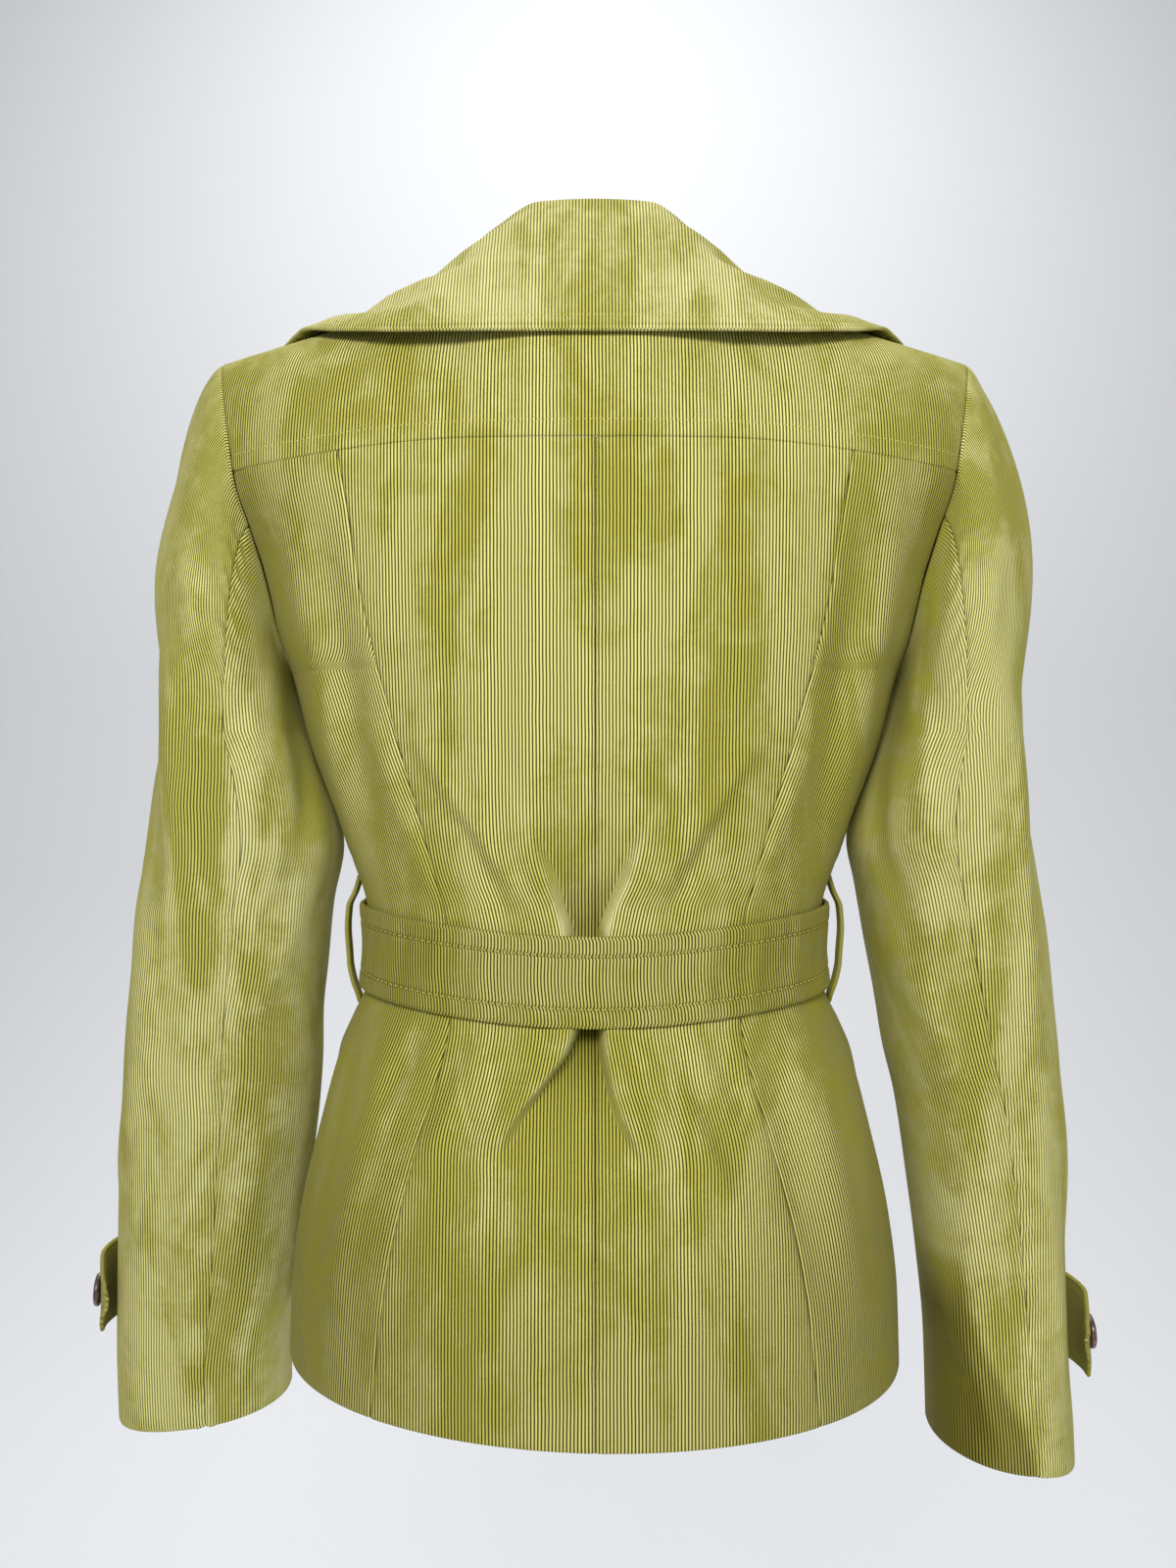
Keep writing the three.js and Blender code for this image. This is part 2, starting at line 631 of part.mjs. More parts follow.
// The seam behind the arm wanders towards the outside on the right sleeve; the front seam is straight
const hindSeam = { left: () => 101, right: (s) => lerp(97, 80, ease(0.4, 1, s)) };
const FRONT_SEAM = -112;
function sleeveGrid({ name, side }, from, to, columns) {
  const surface = sleeves[name];
  return SLEEVE_ROWS.map((s) =>
    steps(columns, from(s), to(s)).map((angle) => ({
      point: surface(angle, s),
      n: normal(surface, angle, clamp(s, 0.012, 0.99), 1.5, 0.008, -side),
    })),
  );
}
function sleeve(which) {
  const gap = 0.2; // degrees, half the seam's gap
  const hind = hindSeam[which.name];
  const outer = sleeveGrid(which, () => FRONT_SEAM + gap, (s) => hind(s) - gap, 14);
  const under = sleeveGrid(which, (s) => hind(s) + gap, () => FRONT_SEAM + 360 - gap, 9);
  add(`sleeve_${which.name}_outer`, wall(outer, CLOTH, -CLOTH));
  add(`sleeve_${which.name}_under`, wall(under, CLOTH, -CLOTH));
}
SIDES.forEach(sleeve);

// The chest: c runs from the roll line to the armhole, w from the shoulder seam (0) past the yoke's level (1)
// down to where the fronts start to roll open (2)
function chestPoint(side, c, w) {
  if (w <= 1) return upperFront(side, c, 1 - w);
  const z = lerp(YOKE_Z, BREAK_Z, w - 1);
  const inner = alongAtFrontX(z, rollX(z));
  return bodyPoint(side, lerp(inner, alongAtY(z, -armhole(z).front), c), z);
}
// The collar is one folded wall: k is 0 at the centre back, 1 at the side neck point, 2 where the roll line
// crosses the yoke's level and 3 at its end. rise and out place the fold above the seam and beyond it, roll is
// how far the leaf bulges, or sags where it is below 0
const collarFold = curves(
  table(
    ["k", "rise", "out", "roll"],
    [
      [0, 38, -2, 8],
      [0.4, 38, -3, 5],
      [0.65, 30, -3, -5],
      [0.85, 22, -2, -10],
      [1, 16, 0, -12],
      [1.33, 12, 5, -8],
      [1.66, 11, 7, 6],
      [2, 9, 7, 12],
      [2.4, 7, 4.5, 8],
      [2.75, 5.5, 2, 4],
      [3, 4.8, 1, 2],
    ],
  ),
  "k",
);
// The edge of the leaf, as places over the yoke and, further round, on the chest
const EDGE_BACK = [
  [0, 0, 97, -49.5],
  [0.25, 48, 96, -49],
  [0.5, 96, 89, -47],
  [0.75, 138, 65, -38],
  [0.95, 166, 28, -25.5],
];
const EDGE_CHEST = [
  [1.15, 0.8, 0.12],
  [1.4, 0.83, 0.45],
  [1.66, 0.78, 0.82],
  [2, 0.62, 1.16],
  [2.4, 0.38, 1.47],
  [2.75, 0.16, 1.72],
  [3, 0.05, 1.9],
];
const LEAF_AIR = 4; // the leaf's edge lies this far off the chest
const LEFT_FULLER = 5; // the fold stands this much further out at the left side neck point
const FOLD_RADIUS = 5.5; // the fold is this round where there is room
const LEFT_END = 0.68; // the left end stops short, where the right front passes over it
function collarSide(side) {
  const shorter = (w) => (w > 1 && side > 0 ? 1 + (w - 1) * LEFT_END : w);
  const chest = (c, w) => chestPoint(side, c, w);
  const chestNormal = (c, w) => normal(chest, c, clamp(w, 0.02, 1.95), 0.02, 0.02, -side);
  const seam = (k) => (k <= 1 ? topLine(side * NECK_HALF * k) : chest(0, shorter(k - 1)));
  const edges = [
    ...EDGE_BACK.map(([k, x, y, z]) => ({ k, x: side * x, y, z })),
    ...EDGE_CHEST.map(([k, c, w]) => {
      const at = moved(chest(c, shorter(w)), chestNormal(c, shorter(w)), LEAF_AIR);
      return { k, x: at.x, y: at.y, z: at.z };
    }),
  ];
  const edgeAt = curves(edges, "k");
  return (k) => {
    const { rise, out: reach, roll } = collarFold(k);
    const out = reach + (side > 0 ? LEFT_FULLER * Math.exp(-(((k - 0.95) / 0.35) ** 2)) : 0);
    const front = ease(1, 1.7, k);
    const lift = V(0, 0, 1).lerp(chestNormal(0.02, shorter(Math.max(k - 1, 0.02))), front).normalize();
    const start = moved(seam(k), lift, 0.5 + 1.3 * front);
    const e = edgeAt(k);
    const end = V(e.x, e.y, e.z);
    const away = end.clone().sub(start);
    away.addScaledVector(lift, -away.dot(lift)).normalize();
    const fold = start.clone().addScaledVector(lift, rise).addScaledVector(away, out);
    const r = Math.min(FOLD_RADIUS, rise * 0.6);
    const standTop = fold.clone().addScaledVector(lift, -r).addScaledVector(away, -r);
    const leafTop = fold.clone().addScaledVector(lift, -r * 0.8).addScaledVector(away, r * 1.2);
    const drop = end.clone().sub(leafTop);
    const up = lift.clone().addScaledVector(drop, -lift.dot(drop) / drop.lengthSq()).normalize();
    const belly = leafTop.clone().addScaledVector(drop, 0.45).addScaledVector(up, roll);
    const bend = (a, b, c, t) =>
      a.clone().multiplyScalar((1 - t) ** 2).addScaledVector(b, 2 * t * (1 - t)).addScaledVector(c, t * t);
    return [
      (t) => bend(start, start.clone().lerp(standTop, 0.5).addScaledVector(away, 1), standTop, t),
      (t) => bend(standTop, moved(fold, away, -r), fold, t),
      (t) => bend(fold, moved(fold, away, r), leafTop, t),
      (t) => bend(leafTop, belly, end, t),
    ];
  };
}
const collarSides = { 1: collarSide(1), "-1": collarSide(-1) };
// w runs from the seam (0) over the stand (1), the fold (2) and its other side (3) to the leaf's edge (4)
function collarPoint(k, w) {
  const parts = collarSides[k < 0 ? -1 : 1](Math.abs(k));
  const part = Math.min(3, Math.floor(w));
  return parts[part](w - part);
}
const COLLAR_ACROSS = [0, 1, 1.5, 2, 2.5, 3, 3.2, 3.4, 3.6, 3.8, 4];
const COLLAR_ALONG = [0.25, 0.5, 0.68, 0.84, 0.98, 1.12, 1.25, 1.5, 1.75, 2, 2.24, 2.46, 2.62, 2.79, 3];
function collar() {
  const stations = [...COLLAR_ALONG.map((k) => -k).reverse(), 0, ...COLLAR_ALONG];
  const grid = stations.map((k) =>
    COLLAR_ACROSS.map((w) => ({
      point: collarPoint(k, w),
      n: normal(collarPoint, clamp(k, -2.98, 2.98), clamp(w, 0.1, 3.95), 0.02, 0.05, 1),
    })),
  );
  add("collar", wall(grid, DOUBLE, 0));
}
collar();

// The pointed tab on each cuff: it is sewn in at the front seam and stands off the sleeve towards its point
const TAB = table(
  ["sleeve", "z", "width", "from", "to", "stand"],
  [
    ["left", -584, 50, -100, 34, 6],
    ["right", -592, 50, -100, 36, 8],
  ],
);
const TAB_POINT = 16; // degrees over which the end narrows to its point
function tabSurface({ name, side }) {
  const tab = TAB.find((row) => row.sleeve === name);
  const surface = sleeves[name];
  return (angle, across) => {
    const t = clamp((angle - tab.from) / (tab.to - tab.from));
    const narrow = lerp(1, 0.16, clamp((angle - (tab.to - TAB_POINT)) / TAB_POINT));
    const s = sleeveShare(tab.z + across * 0.5 * tab.width * narrow);
    const n = normal(surface, angle, s, 1.5, 0.008, -side);
    return moved(surface(angle, s), n, lerp(0.9, 1.4, ease(0, 0.3, t)) + tab.stand * ease(0.35, 1, t) ** 1.2);
  };
}
function disc(name, radius, thick, centre, n) {
  const r = radius;
  const profile = [
    [0, 0], [r * 0.9, 0], [r, thick * 0.3], [r, thick * 0.7], [r * 0.86, thick], [r * 0.6, thick * 0.8],
    [0, thick * 0.8],
  ];
  const points = profile.map(([x, y]) => new THREE.Vector2(x, y));
  const mesh = add(name, new THREE.LatheGeometry(points, 14), horn());
  mesh.quaternion.setFromUnitVectors(V(0, 1, 0), n);
  mesh.position.copy(centre);
}
function cuffTab(which) {
  const { name, side } = which;
  const tab = TAB.find((row) => row.sleeve === name);
  const surface = tabSurface(which);
  const angles = [...steps(10, tab.from, tab.to - TAB_POINT), ...steps(3, tab.to - TAB_POINT, tab.to).slice(1)];
  const grid = angles.map((angle) =>
    steps(4, -1, 1).map((across) => ({
      point: surface(angle, across),
      n: normal(surface, angle, 0.5 * across, 1, 0.05, side),
    })),
  );
  add(`cuff_tab_${name}`, wall(grid, DOUBLE));
  const at = tab.to - TAB_POINT - 4;
  const n = normal(surface, at, 0, 1, 0.05, side);
  disc(`cuff_button_${name}`, CUFF_BUTTON_R, 3.2, moved(surface(at, 0), n, DOUBLE + 0.5), n);
}
SIDES.forEach(cuffTab);

// The belt: level at the sides and sagging a little at the centre back
function beltPoint(side, share, across, out) {
  const level = lerp(BELT_Z_BACK, BELT_Z_SIDE, ease(0, 1, share));
  const z = level + across * 0.5 * BELT_WIDTH;
  const half = alongAtSide(z);
  const along = share <= 1 ? share * half : lerp(half, ringLength(z), share - 1);
  return ringPoint(side, along, z, BELT_GAP + out);
}
function beltPart(name, from, to, count) {
  const end = to - Math.sign(to - from) * 0.002; // it stops just short of the other part
  const layer = (out) =>
    steps(count, -1, 1).map((q) => {
      const share = lerp(from, end, Math.abs(q));
      return steps(2, -1, 1).map((across) => beltPoint(q < 0 ? -1 : 1, share, across, out));
    });
  add(name, closed(layer(BELT_THICK), layer(0)));
}
beltPart("belt_back", 0, 1, 18);
beltPart("belt_front", 2, 1, 18);

// The belt's free end passes through the buckle and lies on the belt, with a pointed tip
const END_FROM = 0.04; // shares of the quarter ring from the centre front, towards the left side
const END_TO = 0.62;
const END_POINT = 0.07;
const END_GAP = 0.7;
function beltEnd() {
  const out = BELT_THICK + END_GAP;
  const shares = [...steps(8, END_FROM, END_TO - END_POINT), END_TO - END_POINT / 2, END_TO];
  const layer = (extra) =>
    shares.map((share) => {
      const narrow = lerp(1, 0.2, clamp((share - (END_TO - END_POINT)) / END_POINT));
      return steps(3, -1, 1).map((across) => beltPoint(1, 2 - share, across * narrow * 0.97, out + extra));
    });
  add("belt_end", closed(layer(BELT_THICK), layer(0)));
}
beltEnd();

// A plain slide buckle at the centre front, a frame with rounded corners and a middle bar
const BUCKLE_HEIGHT = 62;
const BUCKLE_WIDTH = 46;
const BUCKLE_BAR = 6;
const BUCKLE_THICK = 3.4;
const BUCKLE_CORNER = 8;
function rounded(path, w, h, r, x = 0) {
  path.moveTo(x - w / 2 + r, -h / 2);
  path.lineTo(x + w / 2 - r, -h / 2);
  path.absarc(x + w / 2 - r, -h / 2 + r, r, -Math.PI / 2, 0, false);
  path.lineTo(x + w / 2, h / 2 - r);
  path.absarc(x + w / 2 - r, h / 2 - r, r, 0, Math.PI / 2, false);
  path.lineTo(x - w / 2 + r, h / 2);
  path.absarc(x - w / 2 + r, h / 2 - r, r, Math.PI / 2, Math.PI, false);
  path.lineTo(x - w / 2, -h / 2 + r);
  path.absarc(x - w / 2 + r, -h / 2 + r, r, Math.PI, Math.PI * 1.5, false);
  return path;
}
function buckle() {
  const shape = rounded(new THREE.Shape(), BUCKLE_WIDTH, BUCKLE_HEIGHT, BUCKLE_CORNER);
  const holeWidth = (BUCKLE_WIDTH - 3 * BUCKLE_BAR) / 2;
  const holeHeight = BUCKLE_HEIGHT - 2 * BUCKLE_BAR;
  for (const way of [-1, 1]) {
    const middle = (way * (holeWidth + BUCKLE_BAR)) / 2;
    shape.holes.push(rounded(new THREE.Path(), holeWidth, holeHeight, 2, middle));
  }
  const settings = { depth: BUCKLE_THICK, bevelEnabled: false, curveSegments: 4 };
  const geometry = new THREE.ExtrudeGeometry(shape, settings);
  geometry.rotateX(Math.PI / 2);
  const mesh = add("belt_buckle", geometry, horn());
  const face = beltPoint(1, 2, 0, 2 * BELT_THICK + 2 * END_GAP + 0.4);
  mesh.position.set(0, face.y, face.z);
}
buckle();

// The belt loops: narrow straps that stand off the side seams around the belt
const LOOP_WIDTH = 9;
const LOOP_TOP = -331;
const LOOP_BOTTOM = -404;
const LOOP = table(
  ["z", "off"],
  [
    [LOOP_TOP, 0.5],
    [-338, 5],
    [-349, 11.5],
    [-364, 13.6],
    [-380, 12],
    [-393, 7.5],
    [LOOP_BOTTOM, 0.5],
  ],
);
const loopOff = through([...LOOP].reverse(), "z", "off");
function beltLoop({ name, side }) {
  const surface = (y, z) => ringPoint(side, alongAtY(z, y), z, loopOff(z));
  const grid = steps(12, LOOP_BOTTOM, LOOP_TOP).map((z) =>
    [-1, 0, 1].map((t) => {
      const y = (t * LOOP_WIDTH) / 2;
      const level = clamp(z, LOOP_BOTTOM + 1, LOOP_TOP - 1);
      return { point: surface(y, z), n: normal(surface, y, level, 1, 1, side) };
    }),
  );
  add(`belt_loop_${name}`, wall(grid, DOUBLE));
}
SIDES.forEach(beltLoop);

// Three buttons down the centre front
const FRONT_BUTTON_LEVELS = [-232, -298, -446];
FRONT_BUTTON_LEVELS.forEach((z, i) => {
  const surface = (along, level) => bodyPoint(-1, along, level);
  const along = ringLength(z) - 2;
  const n = normal(surface, along, z, 1, 2, 1);
  disc(`front_button_${i + 1}`, BUTTON_R, 4, moved(surface(along, z), n, 0.45), n);
});

export default jacket;
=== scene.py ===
# %% [markdown]
# # A belted corduroy jacket
# The real jacket is sewn from flat panels of fine corduroy and keeps the shape of the figure that wears
# it. Each panel here is a thin shell: a grid of points worked out from a few tables of sizes, the same
# sizes that the solids in the frame have, but finer, with the seams, stitch lines and small creases that
# the solids leave out. Sizes are millimetres until a mesh is made, because a tailor measures in them;
# Blender's own unit is the metre.

# %% Load the frame
import json
import math

import bpy
import numpy as np
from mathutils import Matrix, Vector

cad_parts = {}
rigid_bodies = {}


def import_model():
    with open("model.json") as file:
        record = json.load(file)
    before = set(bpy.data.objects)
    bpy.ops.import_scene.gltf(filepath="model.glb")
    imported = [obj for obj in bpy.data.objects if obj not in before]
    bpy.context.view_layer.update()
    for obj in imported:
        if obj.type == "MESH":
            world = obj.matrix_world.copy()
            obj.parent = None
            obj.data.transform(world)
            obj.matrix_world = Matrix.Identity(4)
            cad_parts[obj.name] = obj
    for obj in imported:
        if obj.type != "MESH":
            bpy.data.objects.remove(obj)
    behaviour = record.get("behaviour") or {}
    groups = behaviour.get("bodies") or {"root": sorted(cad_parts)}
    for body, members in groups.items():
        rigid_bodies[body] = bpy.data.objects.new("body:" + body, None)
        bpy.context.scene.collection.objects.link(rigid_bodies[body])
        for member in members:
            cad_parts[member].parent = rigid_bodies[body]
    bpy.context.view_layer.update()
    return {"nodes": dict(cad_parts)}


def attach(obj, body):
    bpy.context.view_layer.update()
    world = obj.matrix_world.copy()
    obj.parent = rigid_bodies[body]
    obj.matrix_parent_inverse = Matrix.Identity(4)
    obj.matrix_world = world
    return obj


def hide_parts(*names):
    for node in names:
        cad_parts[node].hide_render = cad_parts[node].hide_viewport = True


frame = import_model()
MM = 0.001

# %% [markdown]
# ## Curves through tables
# A garment's outline is smooth but has no bumps between the places where it was measured. A cubic curve
# whose slopes are the harmonic mean of its neighbours' never overshoots, so a table of a few rows is
# enough.


# %% Helpers for sizes
def lerp(a, b, t):
    return a + (b - a) * t


def ease(low, high, x):
    t = np.clip((np.asarray(x, float) - low) / (high - low), 0, 1)
    return t * t * (3 - 2 * t)


def through(xs, ys):
    xs, ys = np.array(xs, float), np.array(ys, float)
    slopes = np.diff(ys) / np.diff(xs)
    before, after = slopes[:-1], slopes[1:]
    agree = before * after > 0
    inner = np.where(agree, 2 * before * after / np.where(agree, before + after, 1), 0)
    tangents = np.concatenate([slopes[:1], inner, slopes[-1:]])

    def curve(at):
        t = np.clip(at, xs[0], xs[-1])
        i = np.clip(np.searchsorted(xs, t, side="right") - 1, 0, len(xs) - 2)
        h = xs[i + 1] - xs[i]
        s = (t - xs[i]) / h
        ends = ys[i] * (1 + 2 * s) * (1 - s) ** 2 + ys[i + 1] * s * s * (3 - 2 * s)
        return ends + h * (tangents[i] * s * (1 - s) ** 2 + tangents[i + 1] * s * s * (s - 1))

    return curve


def curves(columns, rows):
    first, *others = columns
    at = [row[0] for row in rows]
    return {name: through(at, [row[i + 1] for row in rows]) for i, name in enumerate(others)}


def unit(v):
    return v / np.maximum(np.linalg.norm(v, axis=-1, keepdims=True), 1e-9)


# %% [markdown]
# ## The body
# The torso of the jacket is a stack of level rings. Each ring is a superellipse: rounder than a box,
# fuller than an ellipse, as a chest is. A point on it is named by its height and by how far it lies round
# the ring from the centre back, because that is how a tape measure lies on the cloth.

# %% Driving sizes
CLOTH = 1.7
DOUBLE = 2.3
HEM_Z = -603
YOKE_Z = -104
YOKE_DROP = 7
UNDERARM_Z = -218
NECK_HALF = 72
NECK_BACK = 62
NECK_Y = 10
NECK_DIP = 8
SHOULDER_HALF = 213
SHOULDER_DROP = 38
SHOULDER_Y = 8
OVERLAP = 22
UNDER_LAYER = 3
BREAK_Z = -205
ROLL_X = 53
SLEEVE_TOP_Z = -250
CUFF_Z = -668
CUFF_RISE = 14
CUFF_RISE_TOP = -540
BELT_WIDTH = 45.5
BELT_GAP = 2
BELT_Z_BACK = -379.5
BELT_Z_SIDE = -368
ring_sizes = curves(
    ["z", "half", "back", "front", "square"],
    [
        [HEM_Z, 175, 118, 122, 2.02],
        [-560, 173.5, 117, 121, 2.06],
        [-520, 168.5, 112, 118, 2.15],
        [-470, 157, 102, 112, 2.28],
        [-430, 146, 92, 104, 2.35],
        [-413, 139, 88, 101, 2.35],
        [-395, 132, 85, 98, 2.35],
        [-370, 129, 83.5, 97, 2.35],
        [-345, 131, 83.5, 98, 2.35],
        [-323, 138, 86, 105, 2.35],
        [-300, 146, 89, 115, 2.35],
        [-254, 163, 95, 127, 2.35],
        [UNDERARM_Z, 172, 99, 123, 2.4],
        [-200, 178.5, 100, 119, 2.5],
        [-167, 188.6, 101.5, 108, 2.5],
        [-140, 201, 102, 99, 2.5],
        [YOKE_Z - YOKE_DROP, 218, 100.5, 90, 2.5],
        [YOKE_Z, 220, 100, 88, 2.5],
    ],
)
armhole = curves(
    ["z", "back", "front"],
    [
        [UNDERARM_Z, 0.5, 0.5],
        [-214, 13, 13],
        [-200, 30, 33],
        [-167, 42, 52],
        [-140, 50, 56],
        [YOKE_Z - YOKE_DROP, 58, 56],
        [YOKE_Z, 59, 54],
    ],
)
princess_x = through(
    [HEM_Z, -558, -526, -492, -458, -432, -399, -350, -330, -254, -211, -173, -140, YOKE_Z],
    [115, 110, 106, 99, 90, 82, 76, 79, 83, 103, 114, 122, 126, 132],
)

# %% Rings resampled by length
LEVEL_STEP = 1.0
SHARES = np.linspace(0, 1, 241)
levels = np.arange(HEM_Z - 2, YOKE_Z + 3, LEVEL_STEP)
ring_x, ring_y, ring_length = [], [], []
for z in levels:
    angle = np.pi * SHARES
    power = 2 / ring_sizes["square"](z)
    depth = np.where(np.cos(angle) >= 0, ring_sizes["back"](z), ring_sizes["front"](z))
    x = ring_sizes["half"](z) * np.abs(np.sin(angle)) ** power
    y = depth * np.sign(np.cos(angle)) * np.abs(np.cos(angle)) ** power
    along = np.concatenate([[0], np.cumsum(np.hypot(np.diff(x), np.diff(y)))])
    ring_x.append(np.interp(SHARES * along[-1], along, x))
    ring_y.append(np.interp(SHARES * along[-1], along, y))
    ring_length.append(along[-1])
ring_x, ring_y, ring_length = np.array(ring_x), np.array(ring_y), np.array(ring_length)
turn_x, turn_y = np.gradient(ring_x, axis=1), np.gradient(ring_y, axis=1)
size = np.hypot(turn_x, turn_y)
ring_nx, ring_ny = -turn_y / size, turn_x / size
print("half rings:", ring_length.min().round(), "to", ring_length.max().round(), "mm long")


# %% Points on the rings
def girth(z):
    return np.interp(z, levels, ring_length)


def on_rings(values, z, share):
    row = np.clip((z - levels[0]) / LEVEL_STEP, 0, len(levels) - 1.001)
    column = np.clip(share, 0, 1) * (len(SHARES) - 1)
    i, j = row.astype(int), np.minimum(column.astype(int), len(SHARES) - 2)
    u, v = row - i, column - j
    low = values[i, j] * (1 - v) + values[i, j + 1] * v
    high = values[i + 1, j] * (1 - v) + values[i + 1, j + 1] * v
    return low * (1 - u) + high * u


def ring_point(side, along, z, out=0.0):
    along, z, out = np.broadcast_arrays(*(np.asarray(value, float) for value in (along, z, out)))
    total = girth(z)
    share = along / total
    past = np.maximum(0, along - total)
    inside = (past == 0) & (along > 1)
    x = on_rings(ring_x, z, share) - past + np.where(inside, out * on_rings(ring_nx, z, share), 0)
    y = on_rings(ring_y, z, share) + out * on_rings(ring_ny, z, share)
    return np.stack([side * x, y, z], axis=-1)


def level_line(z):
    row = np.full(len(SHARES), float(z))
    return on_rings(ring_x, row, SHARES), on_rings(ring_y, row, SHARES), SHARES * girth(z)


def along_at_back_x(z, x):
    xs, _, alongs = level_line(z)
    half = len(xs) // 2
    return np.interp(x, xs[:half], alongs[:half])


def along_at_y(z, y):
    _, ys, alongs = level_line(z)
    return np.interp(-y, -ys, alongs)


def along_at_front_x(z, x):
    xs, _, alongs = level_line(z)
    half = len(xs) // 2
    return girth(z) - x if x < 0 else np.interp(x, xs[half:][::-1], alongs[half:][::-1])


def along_at_side(z):
    return along_at_y(z, 0)


# %% [markdown]
# ## Folds
# The belt gathers the centre back. Above and below it the cloth turns in on both sides of a sunk strip,
# and the folds fade out towards the shoulders and the hem. Other folds are softer: each is one long ridge
# or trough that drifts across the cloth. They are listed one by one, so no two have the same length, depth
# or spacing.

# %% Tables of folds
pleat = curves(
    ["z", "left", "right", "depth"],
    [
        [-475, 56, 30, 0],
        [-460, 49, 22, 3],
        [-446, 40, 14, 6.5],
        [-430, 27, 8.5, 10],
        [-415, 15.5, 5.5, 12.5],
        [-402, 11, 5, 14],
        [-357, 15, 5.5, 14],
        [-344, 19, 9, 12],
        [-326, 25, 17.5, 6.5],
        [-308, 33, 24, 3],
        [-288, 41, 34, 1],
        [-262, 50, 44, 0],
    ],
)
# side, top, bottom, from, to, width, height
BODY_FOLDS = [
    (1, -125, -335, 168, 142, 11, 3.5),
    (1, -130, -330, 146, 122, 10, -3),
    (1, -398, -560, 112, 150, 12, 3),
    (1, -398, -540, 140, 176, 12, -3),
    (-1, -125, -335, 166, 141, 11, 3.5),
    (-1, -135, -330, 142, 120, 10, -3),
    (-1, -398, -570, 114, 152, 12, 3),
    (-1, -398, -540, 88, 118, 12, -3),
    (1, -398, -580, 250, 262, 16, 3),
    (-1, -398, -580, 246, 258, 16, 3),
]
# Finer ones that only this script has
FINE_FOLDS = [
    (1, -250, -350, 96, 30, 7, 2.2),
    (1, -285, -352, 76, 44, 6, -1.8),
    (1, -235, -345, 124, 86, 7, 2.0),
    (-1, -246, -350, 90, 20, 7, 2.4),
    (-1, -290, -352, 70, 34, 5, -2.0),
    (-1, -240, -345, 120, 84, 7, 1.8),
    (1, -400, -478, 52, 92, 7, 2.0),
    (-1, -404, -500, 26, 74, 7, 3.1),
    (-1, -404, -462, 58, 84, 6, -1.7),
    (1, -400, -452, 88, 118, 6, -1.7),
    (1, -395, -440, 170, 196, 6, 1.7),
    (-1, -395, -445, 166, 190, 6, 1.7),
    (1, -300, -350, 178, 190, 6, 2.0),
    (-1, -300, -350, 176, 188, 6, 2.0),
    (1, -290, -352, 232, 262, 8, 2.5),
    (-1, -285, -352, 236, 258, 8, 2.5),
    (1, -300, -352, 300, 288, 8, -2.0),
    (-1, -296, -352, 302, 292, 8, -2.0),
    (1, -150, -260, 250, 296, 14, 3.1),
    (-1, -150, -260, 250, 300, 14, 3.1),
]


LAP = 1.2
HEM_SLANT = 0.02


def pleat_edge(side, z):
    """Where the fold's foot and its edge lie, and how far the edge laps back over the sunk strip."""
    depth = pleat["depth"](z)
    lap = LAP * np.clip(depth / 9, 0, 1)
    edge = pleat["left" if side > 0 else "right"](z) + lap
    foot = np.maximum(0.8, edge - lerp(9, 5.5, np.clip(depth / 11, 0, 1)))
    return foot, edge, lap


def pleat_height(side, along, z):
    foot, edge, _ = pleat_edge(side, z)
    depth = pleat["depth"](z) * 1.15
    crest = 2.2 * np.clip(depth / 8, 0, 1) * np.exp(-(((along - edge - 4) / 8) ** 2))
    rise = ease(0, 1, (along - foot) / (edge + 0.5 - foot))
    return -depth * (1 - rise) + crest * ease(0, 1, (along - foot) / (edge + 3 - foot))


def pleat_shift(side, along, z):
    foot, edge, lap = pleat_edge(side, z)
    return lap * ease(0, 1, (along - foot) / (edge - foot)) * (1 - ease(0, 1, (along - edge - 4) / 34))


def fold_height(side, along, z, fine=True):
    height = pleat_height(side, along, z)
    for which, top, bottom, start, end, width, tall in BODY_FOLDS + (FINE_FOLDS if fine else []):
        if which == side:
            t = np.clip((top - z) / (top - bottom), 0, 1)
            off = (along - lerp(start, end, t)) / width
            height = height + tall * np.sin(np.pi * t) * np.exp(-off * off)
    if side > 0:
        lapped = 1 - ease(BREAK_Z + 27, BREAK_Z + 50, z)
        height = height - UNDER_LAYER * lapped * (1 - ease(OVERLAP + 6, OVERLAP + 26, girth(z) - along))
    return height


def body_point(side, along, z, fine=True):
    along, z = np.broadcast_arrays(np.asarray(along, float), np.asarray(z, float))
    place = along - pleat_shift(side, along, z)
    point = ring_point(side, place, z, fold_height(side, along, z, fine))
    point[..., 2] += HEM_SLANT * point[..., 0] * ease(-450, HEM_Z, z)
    return point


# %% [markdown]
# ## Over the shoulders
# The yoke and the upper fronts run from a ring up to the shoulder seam. A quadratic curve with its
# turning point high and far back gives the rounded shoulder that padding and the wearer's back make.


# %% Shoulder surfaces
def yoke_seam_z(x):
    return YOKE_Z - YOKE_DROP * ease(60, 200, np.abs(x))


def top_line(x):
    x = np.asarray(x, float)
    near = np.abs(x) / NECK_HALF
    far = np.clip((np.abs(x) - NECK_HALF) / (SHOULDER_HALF - NECK_HALF), 0, 1)
    at_neck = near <= 1
    behind_neck = NECK_BACK - (NECK_BACK - NECK_Y) * np.minimum(near, 1) ** 2.6
    y = np.where(at_neck, behind_neck, lerp(NECK_Y, SHOULDER_Y, far))
    z = np.where(at_neck, -NECK_DIP * (1 - near**2), -SHOULDER_DROP * far**0.9)
    return np.stack(np.broadcast_arrays(x, y, z), axis=-1)


